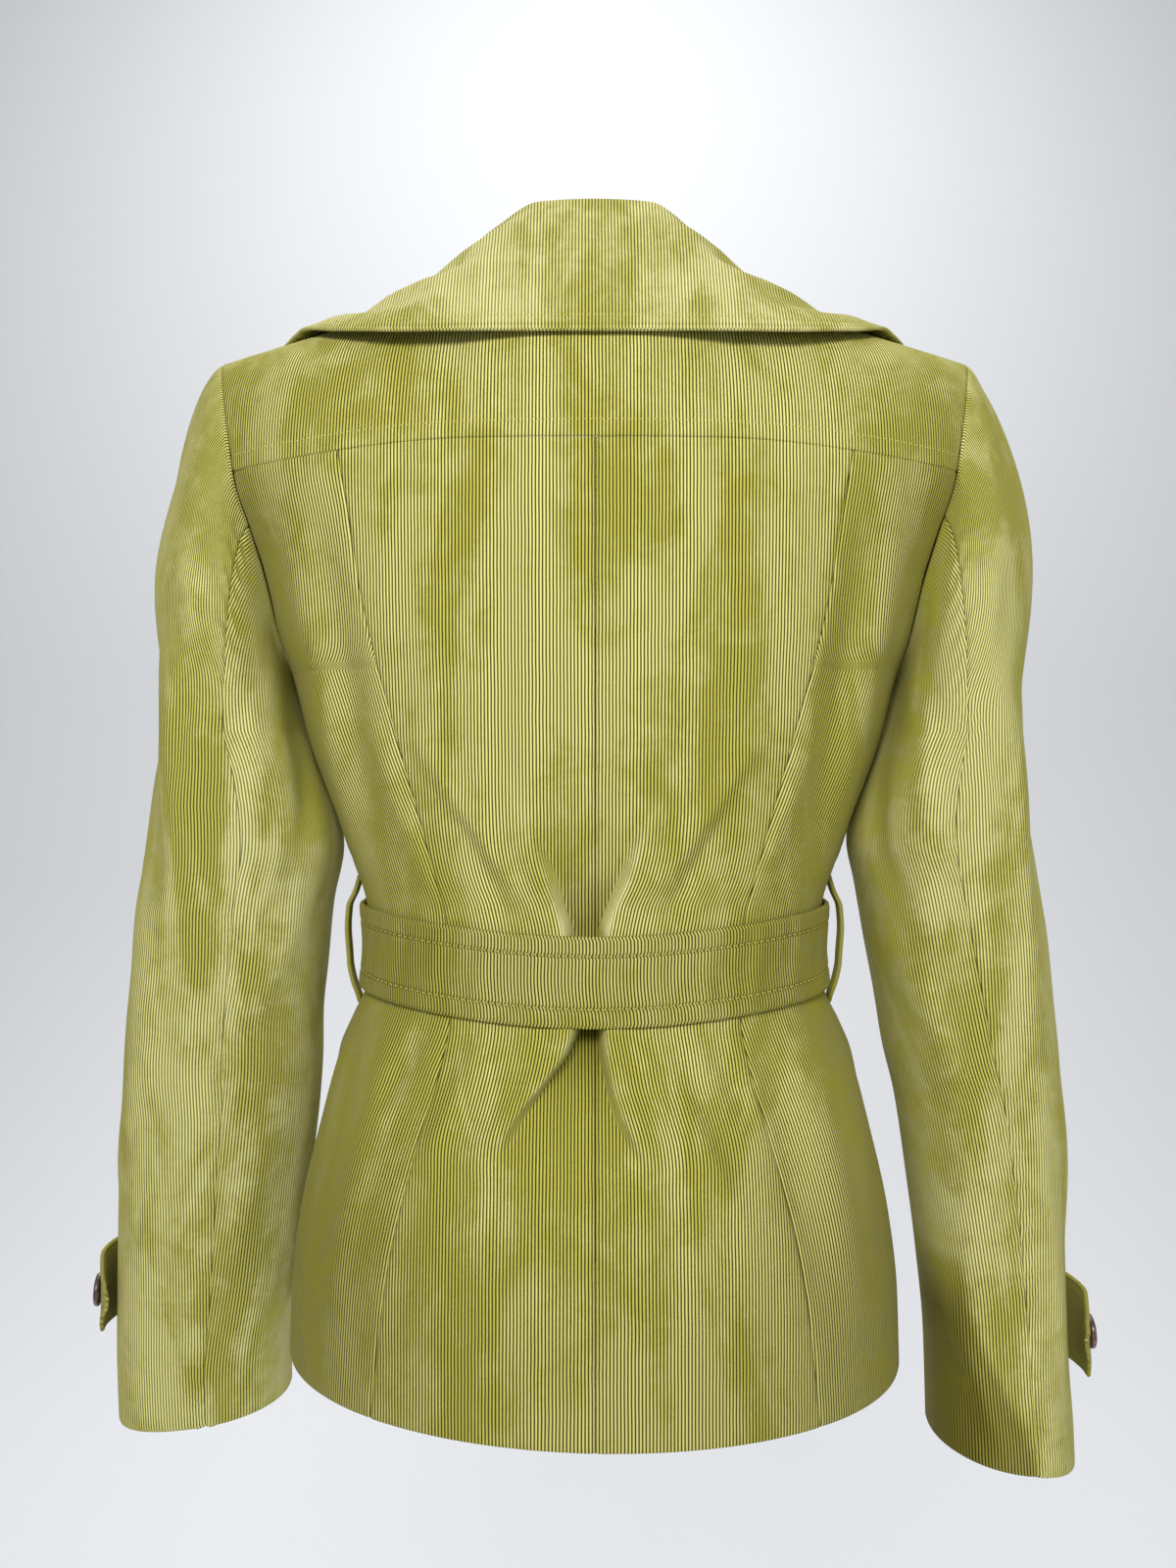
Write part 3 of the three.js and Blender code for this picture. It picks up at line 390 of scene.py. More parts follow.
def over_shoulder(low, high, v):
    turn = np.stack(
        [
            lerp(low[..., 0], high[..., 0], 0.62),
            lerp(low[..., 1], high[..., 1], 0.14),
            lerp(high[..., 2], low[..., 2], 0.06),
        ],
        axis=-1,
    )
    v = np.asarray(v, float)[..., None]
    return low * (1 - v) ** 2 + turn * 2 * v * (1 - v) + high * v * v


YOKE_EDGE = along_at_y(YOKE_Z - YOKE_DROP, armhole["back"](YOKE_Z - YOKE_DROP))


def yoke_point(q, v):
    q, v = np.broadcast_arrays(np.asarray(q, float), np.asarray(v, float))
    along = np.abs(q) * YOKE_EDGE
    z = yoke_seam_z(ring_point(1, along, np.full(q.shape, float(YOKE_Z)))[..., 0])
    right, left = body_point(-1, along, z), body_point(1, along, z)
    low = np.where(q[..., None] < 0, right, left)
    return over_shoulder(low, top_line(q * SHOULDER_HALF), v)


CHEST_INNER = along_at_front_x(YOKE_Z, ROLL_X)
CHEST_OUTER = along_at_y(YOKE_Z, -armhole["front"](YOKE_Z))


def upper_front(side, c, v):
    c, v = np.broadcast_arrays(np.asarray(c, float), np.asarray(v, float))
    low = body_point(side, lerp(CHEST_INNER, CHEST_OUTER, c), np.full(c.shape, float(YOKE_Z)))
    return over_shoulder(low, top_line(side * lerp(NECK_HALF, SHOULDER_HALF, c)), v)


def roll_x(z):
    return lerp(-OVERLAP, ROLL_X, np.clip((z - BREAK_Z) / (YOKE_Z - BREAK_Z), 0, 1) ** 0.85)


# %% [markdown]
# ## From a grid of points to a sewn panel
# Three things happen to a panel at its edges. At a seam the cloth turns under, so the surface dips by a
# hair's breadth and the seam shows as a fine line. Beside a topstitched edge there is a second, shallower
# line. And along both the cloth puckers a little. Then the grid gets its thickness and becomes one closed
# shell, as Solidify would make it, but with the inner wall kept at right angles to the cloth.


# %% Grids, distances and normals
def grid_normals(grid, sign):
    across = np.gradient(grid, axis=1)
    up = np.gradient(grid, axis=0)
    return unit(np.cross(across, up)) * sign


def run(grid, axis):
    steps = np.linalg.norm(np.diff(grid, axis=axis), axis=-1)
    start = np.zeros_like(np.take(steps, [0], axis=axis))
    return np.concatenate([start, np.cumsum(steps, axis=axis)], axis=axis)


def edge_distance(grid, edge):
    length = run(grid, 1 if edge in "LR" else 0)
    if edge in "LB":
        return length
    last = length[:, -1:] if edge == "R" else length[-1:]
    return last - length


SEAM_DIP = 0.55


def bump(distance, width):
    return np.exp(-((distance / width) ** 2))


def sewn(grid, sign, seams="", stitched=(), free="", seed=0):
    """Dips the grid at seams, at stitch lines and rounds its free edges; edges are L, R, T and B."""
    normals = grid_normals(grid, sign)
    move = np.zeros(grid.shape[:2])
    for k, edge in enumerate(seams):
        d = edge_distance(grid, edge)
        lengthwise = run(grid, 0 if edge in "LR" else 1)
        pucker = np.sin(lengthwise / 5.3 + seed + k) * np.sin(lengthwise / 13.7 + 2 * seed) * 0.25
        move += -SEAM_DIP * bump(d, 1.0) + pucker * bump(d - 5, 5)
    for edge, away in stitched:
        move += -0.5 * bump(edge_distance(grid, edge) - away, 0.9)
    for edge in free:
        move += -0.5 * bump(edge_distance(grid, edge), 1.0)
    return grid + normals * move[..., None]


def spaced(length, coarse, margin=5.0):
    """Shares from 0 to 1: fine steps near both ends, where the seams are, and coarse ones between them."""
    at, places = 0.0, [0.0]
    while at < length:
        near_end = at < margin or at > length - margin - coarse
        at += 0.7 if near_end else coarse
        places.append(at)
    return np.array(places) / places[-1]


def line_at(grid, values, edge, away):
    """The values of a grid along the line that runs at one distance from an edge."""
    if edge in "LR":
        grid, values = grid.transpose(1, 0, 2), values.transpose(1, 0, 2)
    if edge in "TR":
        grid, values = grid[::-1], values[::-1]
    length = run(grid, 0)
    columns = range(grid.shape[1])
    return np.array([[np.interp(away, length[:, j], values[:, j, k]) for k in range(3)] for j in columns])


# %% The shell maker
def loop_values(values):
    """One value for each vertex of a shell: the outer grid's, the inner grid's and the rim's."""
    flat = values.reshape(-1)
    return np.concatenate([flat, flat, loop_round(values)])


def loop_round(values):
    return np.concatenate([values[0, :-1], values[:-1, -1], values[-1, :0:-1], values[:0:-1, 0]])


def smooth_object(name, points, faces):
    mesh = bpy.data.meshes.new(name)
    mesh.from_pydata(points, [], faces)
    mesh.polygons.foreach_set("use_smooth", np.ones(len(faces), bool))
    piece = bpy.data.objects.new(name, mesh)
    bpy.context.scene.collection.objects.link(piece)
    return piece


def shell(name, grid, sign, thick, grain=None, free="", split=None, split_uv=None, brushed=0.0):
    """One closed shell.

    grain is how far each point lies across the wales, in mm, and split lets it jump at a column.
    The last argument paints light and shade, with a little of the nap's lie: from -1, painted paler, to 1,
    painted darker.
    """
    rows, columns = grid.shape[:2]
    normals = grid_normals(grid, sign)
    inner = grid - normals * thick
    beyond = np.zeros_like(grid)
    for edge, row, towards in (("B", 0, 1), ("T", -1, -2)):
        if edge in free:
            beyond[row] += unit(grid[row] - grid[towards])
    for edge, column, towards in (("L", 0, 1), ("R", -1, -2)):
        if edge in free:
            beyond[:, column] += unit(grid[:, column] - grid[:, towards])
    rim_points = loop_round((grid + inner) / 2 + beyond * thick * 0.45)
    points = np.concatenate([grid.reshape(-1, 3), inner.reshape(-1, 3), rim_points]) * MM
    index = np.arange(rows * columns).reshape(rows, columns)
    a, b, c, d = index[:-1, :-1], index[:-1, 1:], index[1:, 1:], index[1:, :-1]
    outer_faces = np.stack([a, b, c, d], axis=-1).reshape(-1, 4)
    if sign < 0:
        outer_faces = outer_faces[:, ::-1]
    offset = rows * columns
    inner_faces = outer_faces[:, ::-1] + offset
    border = loop_round(index)
    after = np.roll(border, -1)
    middle = 2 * offset + np.arange(len(border))
    next_middle = np.roll(middle, -1)
    rim = np.concatenate(
        [
            np.stack([border, middle, next_middle, after], axis=-1),
            np.stack([middle, border + offset, after + offset, next_middle], axis=-1),
        ]
    )
    if sign < 0:
        rim = rim[:, ::-1]
    faces = np.concatenate([outer_faces, inner_faces, rim])
    piece = smooth_object(name, points.tolist(), faces.tolist())
    mesh = piece.data
    wrong_side = np.zeros(len(faces), np.float32)
    if thick == CLOTH:
        wrong_side[len(outer_faces) : 2 * len(outer_faces)] = 1
    mesh.attributes.new("wrong side", "FLOAT", "FACE").data.foreach_set("value", wrong_side)
    sideways = loop_values(np.abs(normals[..., 0]))
    mesh.attributes.new("sideways", "FLOAT", "POINT").data.foreach_set("value", sideways.astype(np.float32))
    # Painted light and shade for each point, read by the material
    shading_values = loop_values(np.clip(brushed + np.zeros((rows, columns)), -1, 1))
    mesh.attributes.new("brushed", "FLOAT", "POINT").data.foreach_set("value", shading_values.astype(np.float32))
    if grain is not None:
        length = run(grid, 0)
        flat = np.stack([loop_values(grain), loop_values(length)], axis=-1) * MM
        uv = flat[faces.reshape(-1)]
        if split is not None:
            other = np.stack([loop_values(split_uv), loop_values(length)], axis=-1) * MM
            columns_of = np.tile(np.arange(columns - 1), rows - 1)
            late = np.concatenate([columns_of >= split] * 2 + [np.zeros(len(rim), bool)])
            late = np.repeat(late, 4)
            uv[late] = other[faces.reshape(-1)][late]
        mesh.uv_layers.new(name="wales").data.foreach_set("uv", uv.reshape(-1).astype(np.float32))
    mesh.update()
    return piece


def cloth(name, node, grid, sign, thick, grain, held="hung", rests_on=(), **extra):
    """A panel that stands for a node: its shell and its material."""
    piece = shell(name, grid, sign, thick, grain, **extra)
    piece.data.materials.append(CORDUROY)
    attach(piece, "root")
    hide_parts(node)
    return piece


# %% [markdown]
# ## Corduroy
# Corduroy is a velvet in stripes. Each wale is a round-backed rib of cut pile and between two wales the
# flat ground shows, almost without light. So the material has three scales: the wales, from a coordinate
# that runs across the cut panel and is stored as its UV map; the fine pile on each rib; and the nap,
# large cloudy patches where the pile leans one way or the other and the colour turns from straw to olive.
# The sheen layer gives the pale bloom that pile has where the cloth turns away.

# %% The nap and wale group
WALE = 0.00176


def socket(group, name, way, kind, value=None):
    made = group.interface.new_socket(name=name, in_out=way, socket_type=kind)
    if value is not None:
        made.default_value = value
    return made


def node(tree, kind, **settings):
    made = tree.nodes.new(kind)
    for key, value in settings.items():
        setattr(made, key, value)
    return made


def math_node(tree, operation, a, b=None, clamp=False):
    made = node(tree, "ShaderNodeMath", operation=operation, use_clamp=clamp)
    for i, value in enumerate((a, b)):
        if value is None:
            continue
        if isinstance(value, (int, float)):
            made.inputs[i].default_value = value
        else:
            tree.links.new(value, made.inputs[i])
    return made.outputs[0]


def mix_colour(tree, factor, a, b, blend="MIX"):
    made = node(tree, "ShaderNodeMix", data_type="RGBA", blend_type=blend)
    for i, value in ((0, factor), (6, a), (7, b)):
        if isinstance(value, (int, float, tuple)):
            made.inputs[i].default_value = value
        else:
            tree.links.new(value, made.inputs[i])
    return made.outputs[2]


def remap(tree, value, low, high, to_low=0.0, to_high=1.0):
    made = node(tree, "ShaderNodeMapRange", interpolation_type="SMOOTHSTEP")
    tree.links.new(value, made.inputs[0])
    for i, number in enumerate((low, high, to_low, to_high)):
        made.inputs[i + 1].default_value = number
    return made.outputs[0]


def noise(tree, vector, scale, detail=2.0, roughness=0.5, distortion=0.0):
    made = node(tree, "ShaderNodeTexNoise")
    tree.links.new(vector, made.inputs["Vector"])
    made.inputs["Scale"].default_value = scale
    made.inputs["Detail"].default_value = detail
    made.inputs["Roughness"].default_value = roughness
    made.inputs["Distortion"].default_value = distortion
    return made.outputs["Fac"]


def plain(name, colour, roughness=0.9):
    made = bpy.data.materials.new(name)
    made.use_nodes = True
    shader = made.node_tree.nodes["Principled BSDF"]
    shader.inputs["Base Color"].default_value = (*colour, 1)
    shader.inputs["Roughness"].default_value = roughness
    return made


def corduroy_group():
    group = bpy.data.node_groups.new("Wales and nap", "ShaderNodeTree")
    socket(group, "Across", "INPUT", "NodeSocketVector")
    socket(group, "Sideways", "INPUT", "NodeSocketFloat", 0.0)
    socket(group, "Wrong side", "INPUT", "NodeSocketFloat", 0.0)
    # One input carries painted light and shade; one colour is the painted shade that it and the sideways mask
    # multiply in
    socket(group, "Nap and painted shading", "INPUT", "NodeSocketFloat", 0.0)
    socket(group, "Straw", "INPUT", "NodeSocketColor", (0.81, 0.77, 0.24, 1))
    socket(group, "Olive", "INPUT", "NodeSocketColor", (0.54, 0.515, 0.06, 1))
    socket(group, "Ground", "INPUT", "NodeSocketColor", (0.06, 0.05, 0.002, 1))
    socket(group, "Side", "INPUT", "NodeSocketColor", (0.5, 0.475, 0.13, 1))
    socket(group, "Painted shade colour", "INPUT", "NodeSocketColor", (0.3, 0.27, 0.1, 1))
    socket(group, "Pale", "INPUT", "NodeSocketColor", (0.82, 0.79, 0.4, 1))
    socket(group, "Colour", "OUTPUT", "NodeSocketColor")
    socket(group, "Height", "OUTPUT", "NodeSocketFloat")
    inputs = node(group, "NodeGroupInput")
    outputs = node(group, "NodeGroupOutput")
    place = node(group, "ShaderNodeTexCoord").outputs["Object"]
    apart = node(group, "ShaderNodeSeparateXYZ")
    group.links.new(inputs.outputs["Across"], apart.inputs[0])
    wander = math_node(group, "MULTIPLY", math_node(group, "SUBTRACT", noise(group, place, 45, 1), 0.5), 0.35)
    turns = math_node(group, "ADD", math_node(group, "DIVIDE", apart.outputs[0], WALE), wander)
    phase = math_node(group, "MULTIPLY", turns, math.pi)
    wave = math_node(group, "ABSOLUTE", math_node(group, "SINE", phase))
    squeeze = node(group, "ShaderNodeMapping")
    squeeze.inputs["Scale"].default_value = (1, 1, 0.28)
    group.links.new(place, squeeze.inputs["Vector"])
    clouds = noise(group, squeeze.outputs[0], 17, 4, 0.6, 0.8)
    smudges = noise(group, place, 42, 4, 0.7, 0.4)
    broad = math_node(group, "MULTIPLY", clouds, 0.7)
    leaning = math_node(group, "ADD", broad, math_node(group, "MULTIPLY", smudges, 0.3))
    nap = remap(group, leaning, 0.42, 0.58)
    pile = noise(group, place, 2300, 2, 0.6)
    straw_to_olive = mix_colour(group, nap, inputs.outputs["Straw"], inputs.outputs["Olive"])
    flecked = mix_colour(group, remap(group, pile, 0.3, 0.75, 0, 0.25), straw_to_olive, (0.8, 0.78, 0.36, 1))
    showing = remap(group, wave, 0.3, 0.95)
    ribbed = mix_colour(group, showing, inputs.outputs["Ground"], flecked)
    # Where the cloth faces sideways the ribs give way to one smoother colour, darkened with the ground's:
    # painted shade on the sides
    side_facing = math_node(group, "ADD", inputs.outputs["Sideways"], math_node(group, "MULTIPLY", leaning, 0.5))
    smooth = math_node(group, "MULTIPLY", remap(group, side_facing, 0.8, 1.15), 0.85)
    uneven = remap(group, smudges, 0.42, 0.6)
    side_facing_colour = mix_colour(group, uneven, inputs.outputs["Side"], inputs.outputs["Olive"])
    side_facing_colour = mix_colour(group, 0.3, side_facing_colour, inputs.outputs["Ground"])
    faced = mix_colour(group, smooth, ribbed, side_facing_colour)
    # Painted shade: the cloth that faces sideways is darkened, and so are the patches marked above zero, by a
    # multiply with the painted shade colour
    turned = remap(group, inputs.outputs["Sideways"], 0.12, 0.7, 0, 0.36)
    cloudy = remap(group, leaning, 0.3, 0.62, 1.25, 0.75)
    painted_patch_shade = math_node(group, "MULTIPLY", inputs.outputs["Nap and painted shading"], cloudy)
    dark = math_node(group, "ADD", turned, painted_patch_shade, clamp=True)
    faced = mix_colour(group, dark, faced, inputs.outputs["Painted shade colour"], blend="MULTIPLY")
    # Painted light: where the attribute is below zero the colour is lifted towards the pale colour in cloudy
    # blotches
    blotches = remap(group, leaning, 0.4, 0.6, -1.1, -0.15)
    painted_light = math_node(group, "MULTIPLY", inputs.outputs["Nap and painted shading"], blotches, clamp=True)
    faced = mix_colour(group, painted_light, faced, inputs.outputs["Pale"])
    back = mix_colour(group, remap(group, pile, 0.3, 0.7), (0.2, 0.19, 0.045, 1), (0.27, 0.25, 0.07, 1))
    group.links.new(mix_colour(group, inputs.outputs["Wrong side"], faced, back), outputs.inputs["Colour"])
    flattened = math_node(group, "SUBTRACT", 1.0, math_node(group, "MULTIPLY", smooth, 0.85))
    right_side = math_node(group, "SUBTRACT", 1.0, inputs.outputs["Wrong side"])
    rib = math_node(group, "MULTIPLY", math_node(group, "POWER", wave, 0.8), flattened)
    ribs = math_node(group, "MULTIPLY", rib, right_side)
    tall = math_node(group, "ADD", ribs, math_node(group, "MULTIPLY", pile, 0.12))
    group.links.new(tall, outputs.inputs["Height"])
    return group


WALES_AND_NAP = corduroy_group()


def corduroy_material(name):
    made = bpy.data.materials.new(name)
    made.use_nodes = True
    tree = made.node_tree
    shader = tree.nodes["Principled BSDF"]
    uv = node(tree, "ShaderNodeUVMap", uv_map="wales")
    sideways = node(tree, "ShaderNodeAttribute", attribute_name="sideways")
    wrong_side = node(tree, "ShaderNodeAttribute", attribute_name="wrong side")
    # The point attribute of painted light and shade
    brushed = node(tree, "ShaderNodeAttribute", attribute_name="brushed")
    wales = node(tree, "ShaderNodeGroup")
    wales.node_tree = WALES_AND_NAP
    relief = node(tree, "ShaderNodeBump")
    relief.inputs["Distance"].default_value = 0.0007
    relief.inputs["Strength"].default_value = 0.85
    tree.links.new(uv.outputs[0], wales.inputs["Across"])
    tree.links.new(wales.outputs["Colour"], shader.inputs["Base Color"])
    tree.links.new(sideways.outputs["Fac"], wales.inputs["Sideways"])
    tree.links.new(wrong_side.outputs["Fac"], wales.inputs["Wrong side"])
    tree.links.new(brushed.outputs["Fac"], wales.inputs["Nap and painted shading"])
    tree.links.new(wales.outputs["Height"], relief.inputs["Height"])
    tree.links.new(relief.outputs["Normal"], shader.inputs["Normal"])
    shader.inputs["Roughness"].default_value = 0.85
    shader.inputs["Specular IOR Level"].default_value = 0.15
    shader.inputs["Sheen Weight"].default_value = 0.1
    shader.inputs["Sheen Roughness"].default_value = 0.45
    shader.inputs["Sheen Tint"].default_value = (0.93, 0.88, 0.42, 1)
    return made


CORDUROY = corduroy_material("Olive-yellow corduroy")
print("material:", CORDUROY.name, "with a wale every", WALE * 1000, "mm")

# %% [markdown]
# ## The back
# Four panels and a yoke. A centre back panel is cut with its wales along the centre seam, so the distance
# across the wales is measured from there, down into the gathered fold and out again: that is why the
# wales run in towards the belt. A side back panel's grain follows its own middle.

# %% Centre and side back panels
body_levels = np.unique(
    np.concatenate(
        [
            np.arange(HEM_Z, -480, 4.0),
            np.arange(-480, -262, 2.5),
            np.arange(-262, YOKE_Z, 4.0),
            [HEM_Z + 0.8, HEM_Z + 1.8, YOKE_Z - 3, YOKE_Z - 2, YOKE_Z - 1.3, YOKE_Z - 0.6, YOKE_Z - 0.02],
        ]
    )
)
SEAM_GAP = 0.02
SIDES = (("left", 1), ("right", -1))
DEEPEST = 14  # of the fold
ABOVE_BELT = -357
UNDER_BELT = -402


def back_level(along, level):
    flat = np.broadcast_to(np.asarray(level, float), np.shape(along))
    drop = yoke_seam_z(ring_point(1, along, flat)[..., 0]) - YOKE_Z
    return flat + drop * ease(-165, YOKE_Z, flat)


def centre_back(name, side):
    rest = 1 - (1 - np.linspace(0, 1, 30)) ** 1.25
    rows = []
    for z in body_levels:
        foot, edge, _ = pleat_edge(side, z)
        seam = along_at_back_x(z, princess_x(z)) - SEAM_GAP
        strip = lerp(SEAM_GAP, foot, np.linspace(0, 1, 13) ** 1.3)
        near = np.concatenate([np.linspace(foot, edge, 9)[1:], np.linspace(edge, edge + 9, 8)[1:]])
        rows.append(np.concatenate([strip, near, lerp(edge + 9, seam, rest[1:])]))
    along = np.array(rows)
    grid = body_point(side, along, back_level(along, body_levels[:, None]))
    grid = sewn(grid, -side, "LRT", free="B", seed=side)
    grain = run(grid, 1) * side
    level = body_levels[:, None]
    foot, edge, _ = pleat_edge(side, level)
    sunk = 1 - ease(0, 1, (along - foot + 1) / (edge - foot))
    deep = pleat["depth"](level) / DEEPEST
    # Painted shade in the fold's sunk strip, deepest just above and just below the belt; painted light on the
    # fold's walls; a little darker towards the hem
    shaded = 0.25 * deep + 0.3 * bump(level - ABOVE_BELT, 20) + 0.9 * bump(level - UNDER_BELT, 22)
    wall = ease(0, 1, (along - foot + 1) / 3) * (1 - ease(0, 1, (along - edge) / 3))
    brushed = sunk * shaded - 0.8 * wall * deep + 0.2 * ease(-430, -560, level)
    cloth(f"centre_back_{name}", f"back_{name}", grid, -side, CLOTH, grain, free="B", brushed=brushed)


def side_back(name, side):
    shares = spaced(90, 3.0)
    rows = []
    for z in body_levels:
        start = along_at_back_x(z, princess_x(z)) + SEAM_GAP
        onto_armhole = z > UNDERARM_Z
        end = along_at_y(z, armhole["back"](z)) if onto_armhole else along_at_side(z) - SEAM_GAP
        rows.append(lerp(start, end, shares))
    along = np.array(rows)
    grid = body_point(side, along, back_level(along, body_levels[:, None]))
    grid = sewn(grid, -side, "LRT", free="B", seed=2 * side)
    across = run(grid, 1)
    grain = (across - across[:, [len(shares) // 2]]) * side + 200
    # Painted shade towards the side seam and the armhole, and darker towards the hem
    brushed = 0.25 * ease(-430, -540, body_levels[:, None]) + 0.25 * shares ** 2
    names = f"side_back_panel_{name}", f"side_back_{name}"
    cloth(*names, grid, -side, CLOTH, grain, free="B", brushed=brushed)


for name, side in SIDES:
    centre_back(name, side)
    side_back(name, side)


# %% The yoke
YOKE_STITCH = 9


def yoke():
    half = spaced(194, 3.0)
    q = np.unique(np.concatenate([-half, half]))
    v = spaced(118, 3.0)
    grid = yoke_point(q[None, :], v[:, None])
    grid = sewn(grid, -1, "LRBT", stitched=[("B", YOKE_STITCH)], seed=3)
    across = run(grid, 1)
    grain = across - across[:, [len(q) // 2]]
    cloth("yoke_panel", "yoke", grid, -1, CLOTH, grain)
    return grid


yoke_grid = yoke()

# %% [markdown]
# ## The fronts
# The photograph shows only the back, so the fronts are plain: they lap at the centre, right over left as
# on a woman's jacket, and roll open above the top button.

# %% Fronts


def front(name, side):
    front_levels = body_levels[body_levels < YOKE_Z - 1]
    shares = spaced(200, 3.4)
    rows = []
    for z in front_levels:
        start = along_at_y(z, -armhole["front"](z)) if z > UNDERARM_Z else along_at_side(z) + SEAM_GAP
        rows.append(lerp(start, along_at_front_x(z, roll_x(z)), shares))
    lower = body_point(side, np.array(rows), front_levels[:, None] + np.zeros(len(shares)))
    v = spaced(118, 3.4)
    upper = upper_front(side, (1 - shares)[None, :], v[:, None])
    grid = np.concatenate([lower, upper])
    grid = sewn(grid, -side, "LT", stitched=[("R", 7)], free="BR", seed=4 * side)
    across = run(grid, 1)
    grain = (across - across[:, [-1]]) * side
    cloth(f"front_panel_{name}", f"front_{name}", grid, -side, CLOTH, grain, free="BR")


for name, side in SIDES:
    front(name, side)

# %% [markdown]
# ## The sleeves
# A two-piece sleeve starts at the armhole seam and hangs as a bent tube. Angle 0 is its outside, 90 is
# behind, and 180 lies against the body. The upper part bends from the armhole's points out to the first
# level ring.

# %% Sleeve tables
SLEEVE_COLUMNS = ["z", "inner", "outer", "y", "depth"]
sleeve_rings = {
    "left": curves(
        SLEEVE_COLUMNS,
        [
            [CUFF_Z, 190, 294, -51, 40],
            [-635, 189, 293.5, -47, 40.5],
            [-580, 181, 290.5, -40, 42],
            [-516, 173, 285.8, -31, 45],
            [-467, 166, 280.5, -23, 47],
            [-439, 163.5, 277.6, -19, 49],
            [-415, 162.5, 274, -15, 50],
            [-383, 158.5, 268, -10, 52],
            [-348, 154.5, 264, -6, 54],
            [-314, 148, 258.5, -3, 56],
            [-278, 155, 253, 0, 59],
            [SLEEVE_TOP_Z, 166, 247.5, 2, 61],
        ],
    ),
    "right": curves(
        SLEEVE_COLUMNS,
        [
            [CUFF_Z, 196, 278, -4, 40],
            [-645, 195.5, 277, -4, 40],
            [-607, 194.5, 274, -4, 41],
            [-557, 190.5, 272, -4, 43],
            [-507, 184, 270.5, -3, 45],
            [-461, 177, 269, -2, 47],
            [-430, 169.5, 266.5, -1, 49],
            [-400, 164.5, 263, 0, 50.5],
            [-369, 158.5, 259.5, 1, 52],
            [-335, 152.5, 254.5, 2, 54],
            [-311, 148, 251, 3, 56],
            [-278, 155, 245.5, 4, 59],
            [SLEEVE_TOP_Z, 166, 240, 5, 61],
        ],
    ),
}
SLEEVE_SQUARE = 2.2
# top, bottom, from, to, width, height
SLEEVE_FOLDS = {
    "left": [
        (-110, -205, 0, 22, 34, 6),
        (-190, -375, 48, 74, 15, 4),
        (-215, -350, 20, 50, 16, -4),
        (-200, -330, 150, 118, 14, 4),
        (-330, -470, 30, 62, 20, 3),
        (-230, -420, -60, -95, 18, 4),
        (-400, -560, -40, -80, 18, 3),
    ],
    "right": [
        (-55, -225, 0, 16, 34, 12),
        (-205, -430, 40, 66, 14, 4),
        (-215, -360, 12, 40, 16, -4),
        (-200, -330, 152, 116, 14, 4),
        (-560, -668, 150, 96, 13, 3),
        (-230, -420, -60, -95, 18, 4),
        (-400, -560, -40, -80, 18, 3),
    ],
}
FINE_SLEEVE_FOLDS = {
    "left": [
        (-150, -215, 60, 96, 12, 3.0),
        (-205, -290, 84, 60, 9, -2.4),
        (-225, -330, 130, 96, 9, 3.0),
        (-240, -345, 160, 130, 10, -2.4),
        (-330, -420, 150, 112, 12, 2.7),
        (-420, -520, 60, 20, 14, 2.4),
        (-470, -600, 130, 96, 12, 2.1),
        (-280, -400, -130, -90, 14, 3.3),
    ],
    "right": [
        (-150, -230, 64, 98, 12, 3.0),
        (-215, -300, 92, 64, 9, -2.4),
        (-230, -330, 134, 98, 9, 3.0),
        (-250, -350, 164, 134, 10, -2.4),
        (-350, -450, 148, 110, 12, 2.7),
        (-440, -540, 40, 10, 14, 2.4),
        (-500, -620, 60, 40, 12, 2.1),
        (-280, -400, -130, -90, 14, 3.3),
    ],
}
CAP_SHARE = 0.4
CLEAR = 1.6
HEAD_TURN = (0.9, 0.75, 0.1)


# %% The armhole seam
def armhole_line(side):
    behind = np.concatenate(
        [
            yoke_point(np.full(30, float(side)), np.linspace(1, 0.02, 30)),
            [
                body_point(side, along_at_y(z, armhole["back"](z)), z)
                for z in np.linspace(YOKE_Z - YOKE_DROP, UNDERARM_Z + 0.2, 60)
            ],
        ]
    )
    before = np.concatenate(
        [
            upper_front(side, np.full(30, 1.0), np.linspace(1, 0.02, 30)),
            [
                body_point(side, along_at_y(z, -armhole["front"](z)), z)
                for z in np.linspace(YOKE_Z, UNDERARM_Z + 0.2, 60)
            ],
        ]
    )

    def measured(line):
        along = np.concatenate([[0], np.cumsum(np.linalg.norm(np.diff(line, axis=0), axis=1))])

        def at_share(share):
            return np.stack([np.interp(share * along[-1], along, line[:, k]) for k in range(3)], axis=-1)

        return at_share

    back, fore = measured(behind), measured(before)

    def at_angle(angle):
        share = np.abs(angle) / 180
        return np.where((angle >= 0)[..., None], back(share), fore(share))

    return at_angle


reach_cache = {}


def body_reach(side, z, y):
    key = (side, round(float(z), 1))
    if key not in reach_cache:
        along = np.linspace(20, girth(z) - 20, 120)
        line = body_point(side, along, np.full(len(along), float(z)), fine=False)
        reach_cache[key] = (-line[:, 1], side * line[:, 0])
    ys, xs = reach_cache[key]
    return np.interp(-y, ys, xs)


# %% The sleeve's surface
def sleeve_fold(name, angle, z, fine=True):
    height = np.zeros(np.shape(z))
    folds = SLEEVE_FOLDS[name] + (FINE_SLEEVE_FOLDS[name] if fine else [])
    for top, bottom, start, end, width, tall in folds:
        t = np.clip((top - z) / (top - bottom), 0, 1)
        off = (angle - lerp(start, end, t) + 180) % 360 - 180
        height = height + tall * np.sin(np.pi * t) * np.exp(-((off / width) ** 2))
    return height


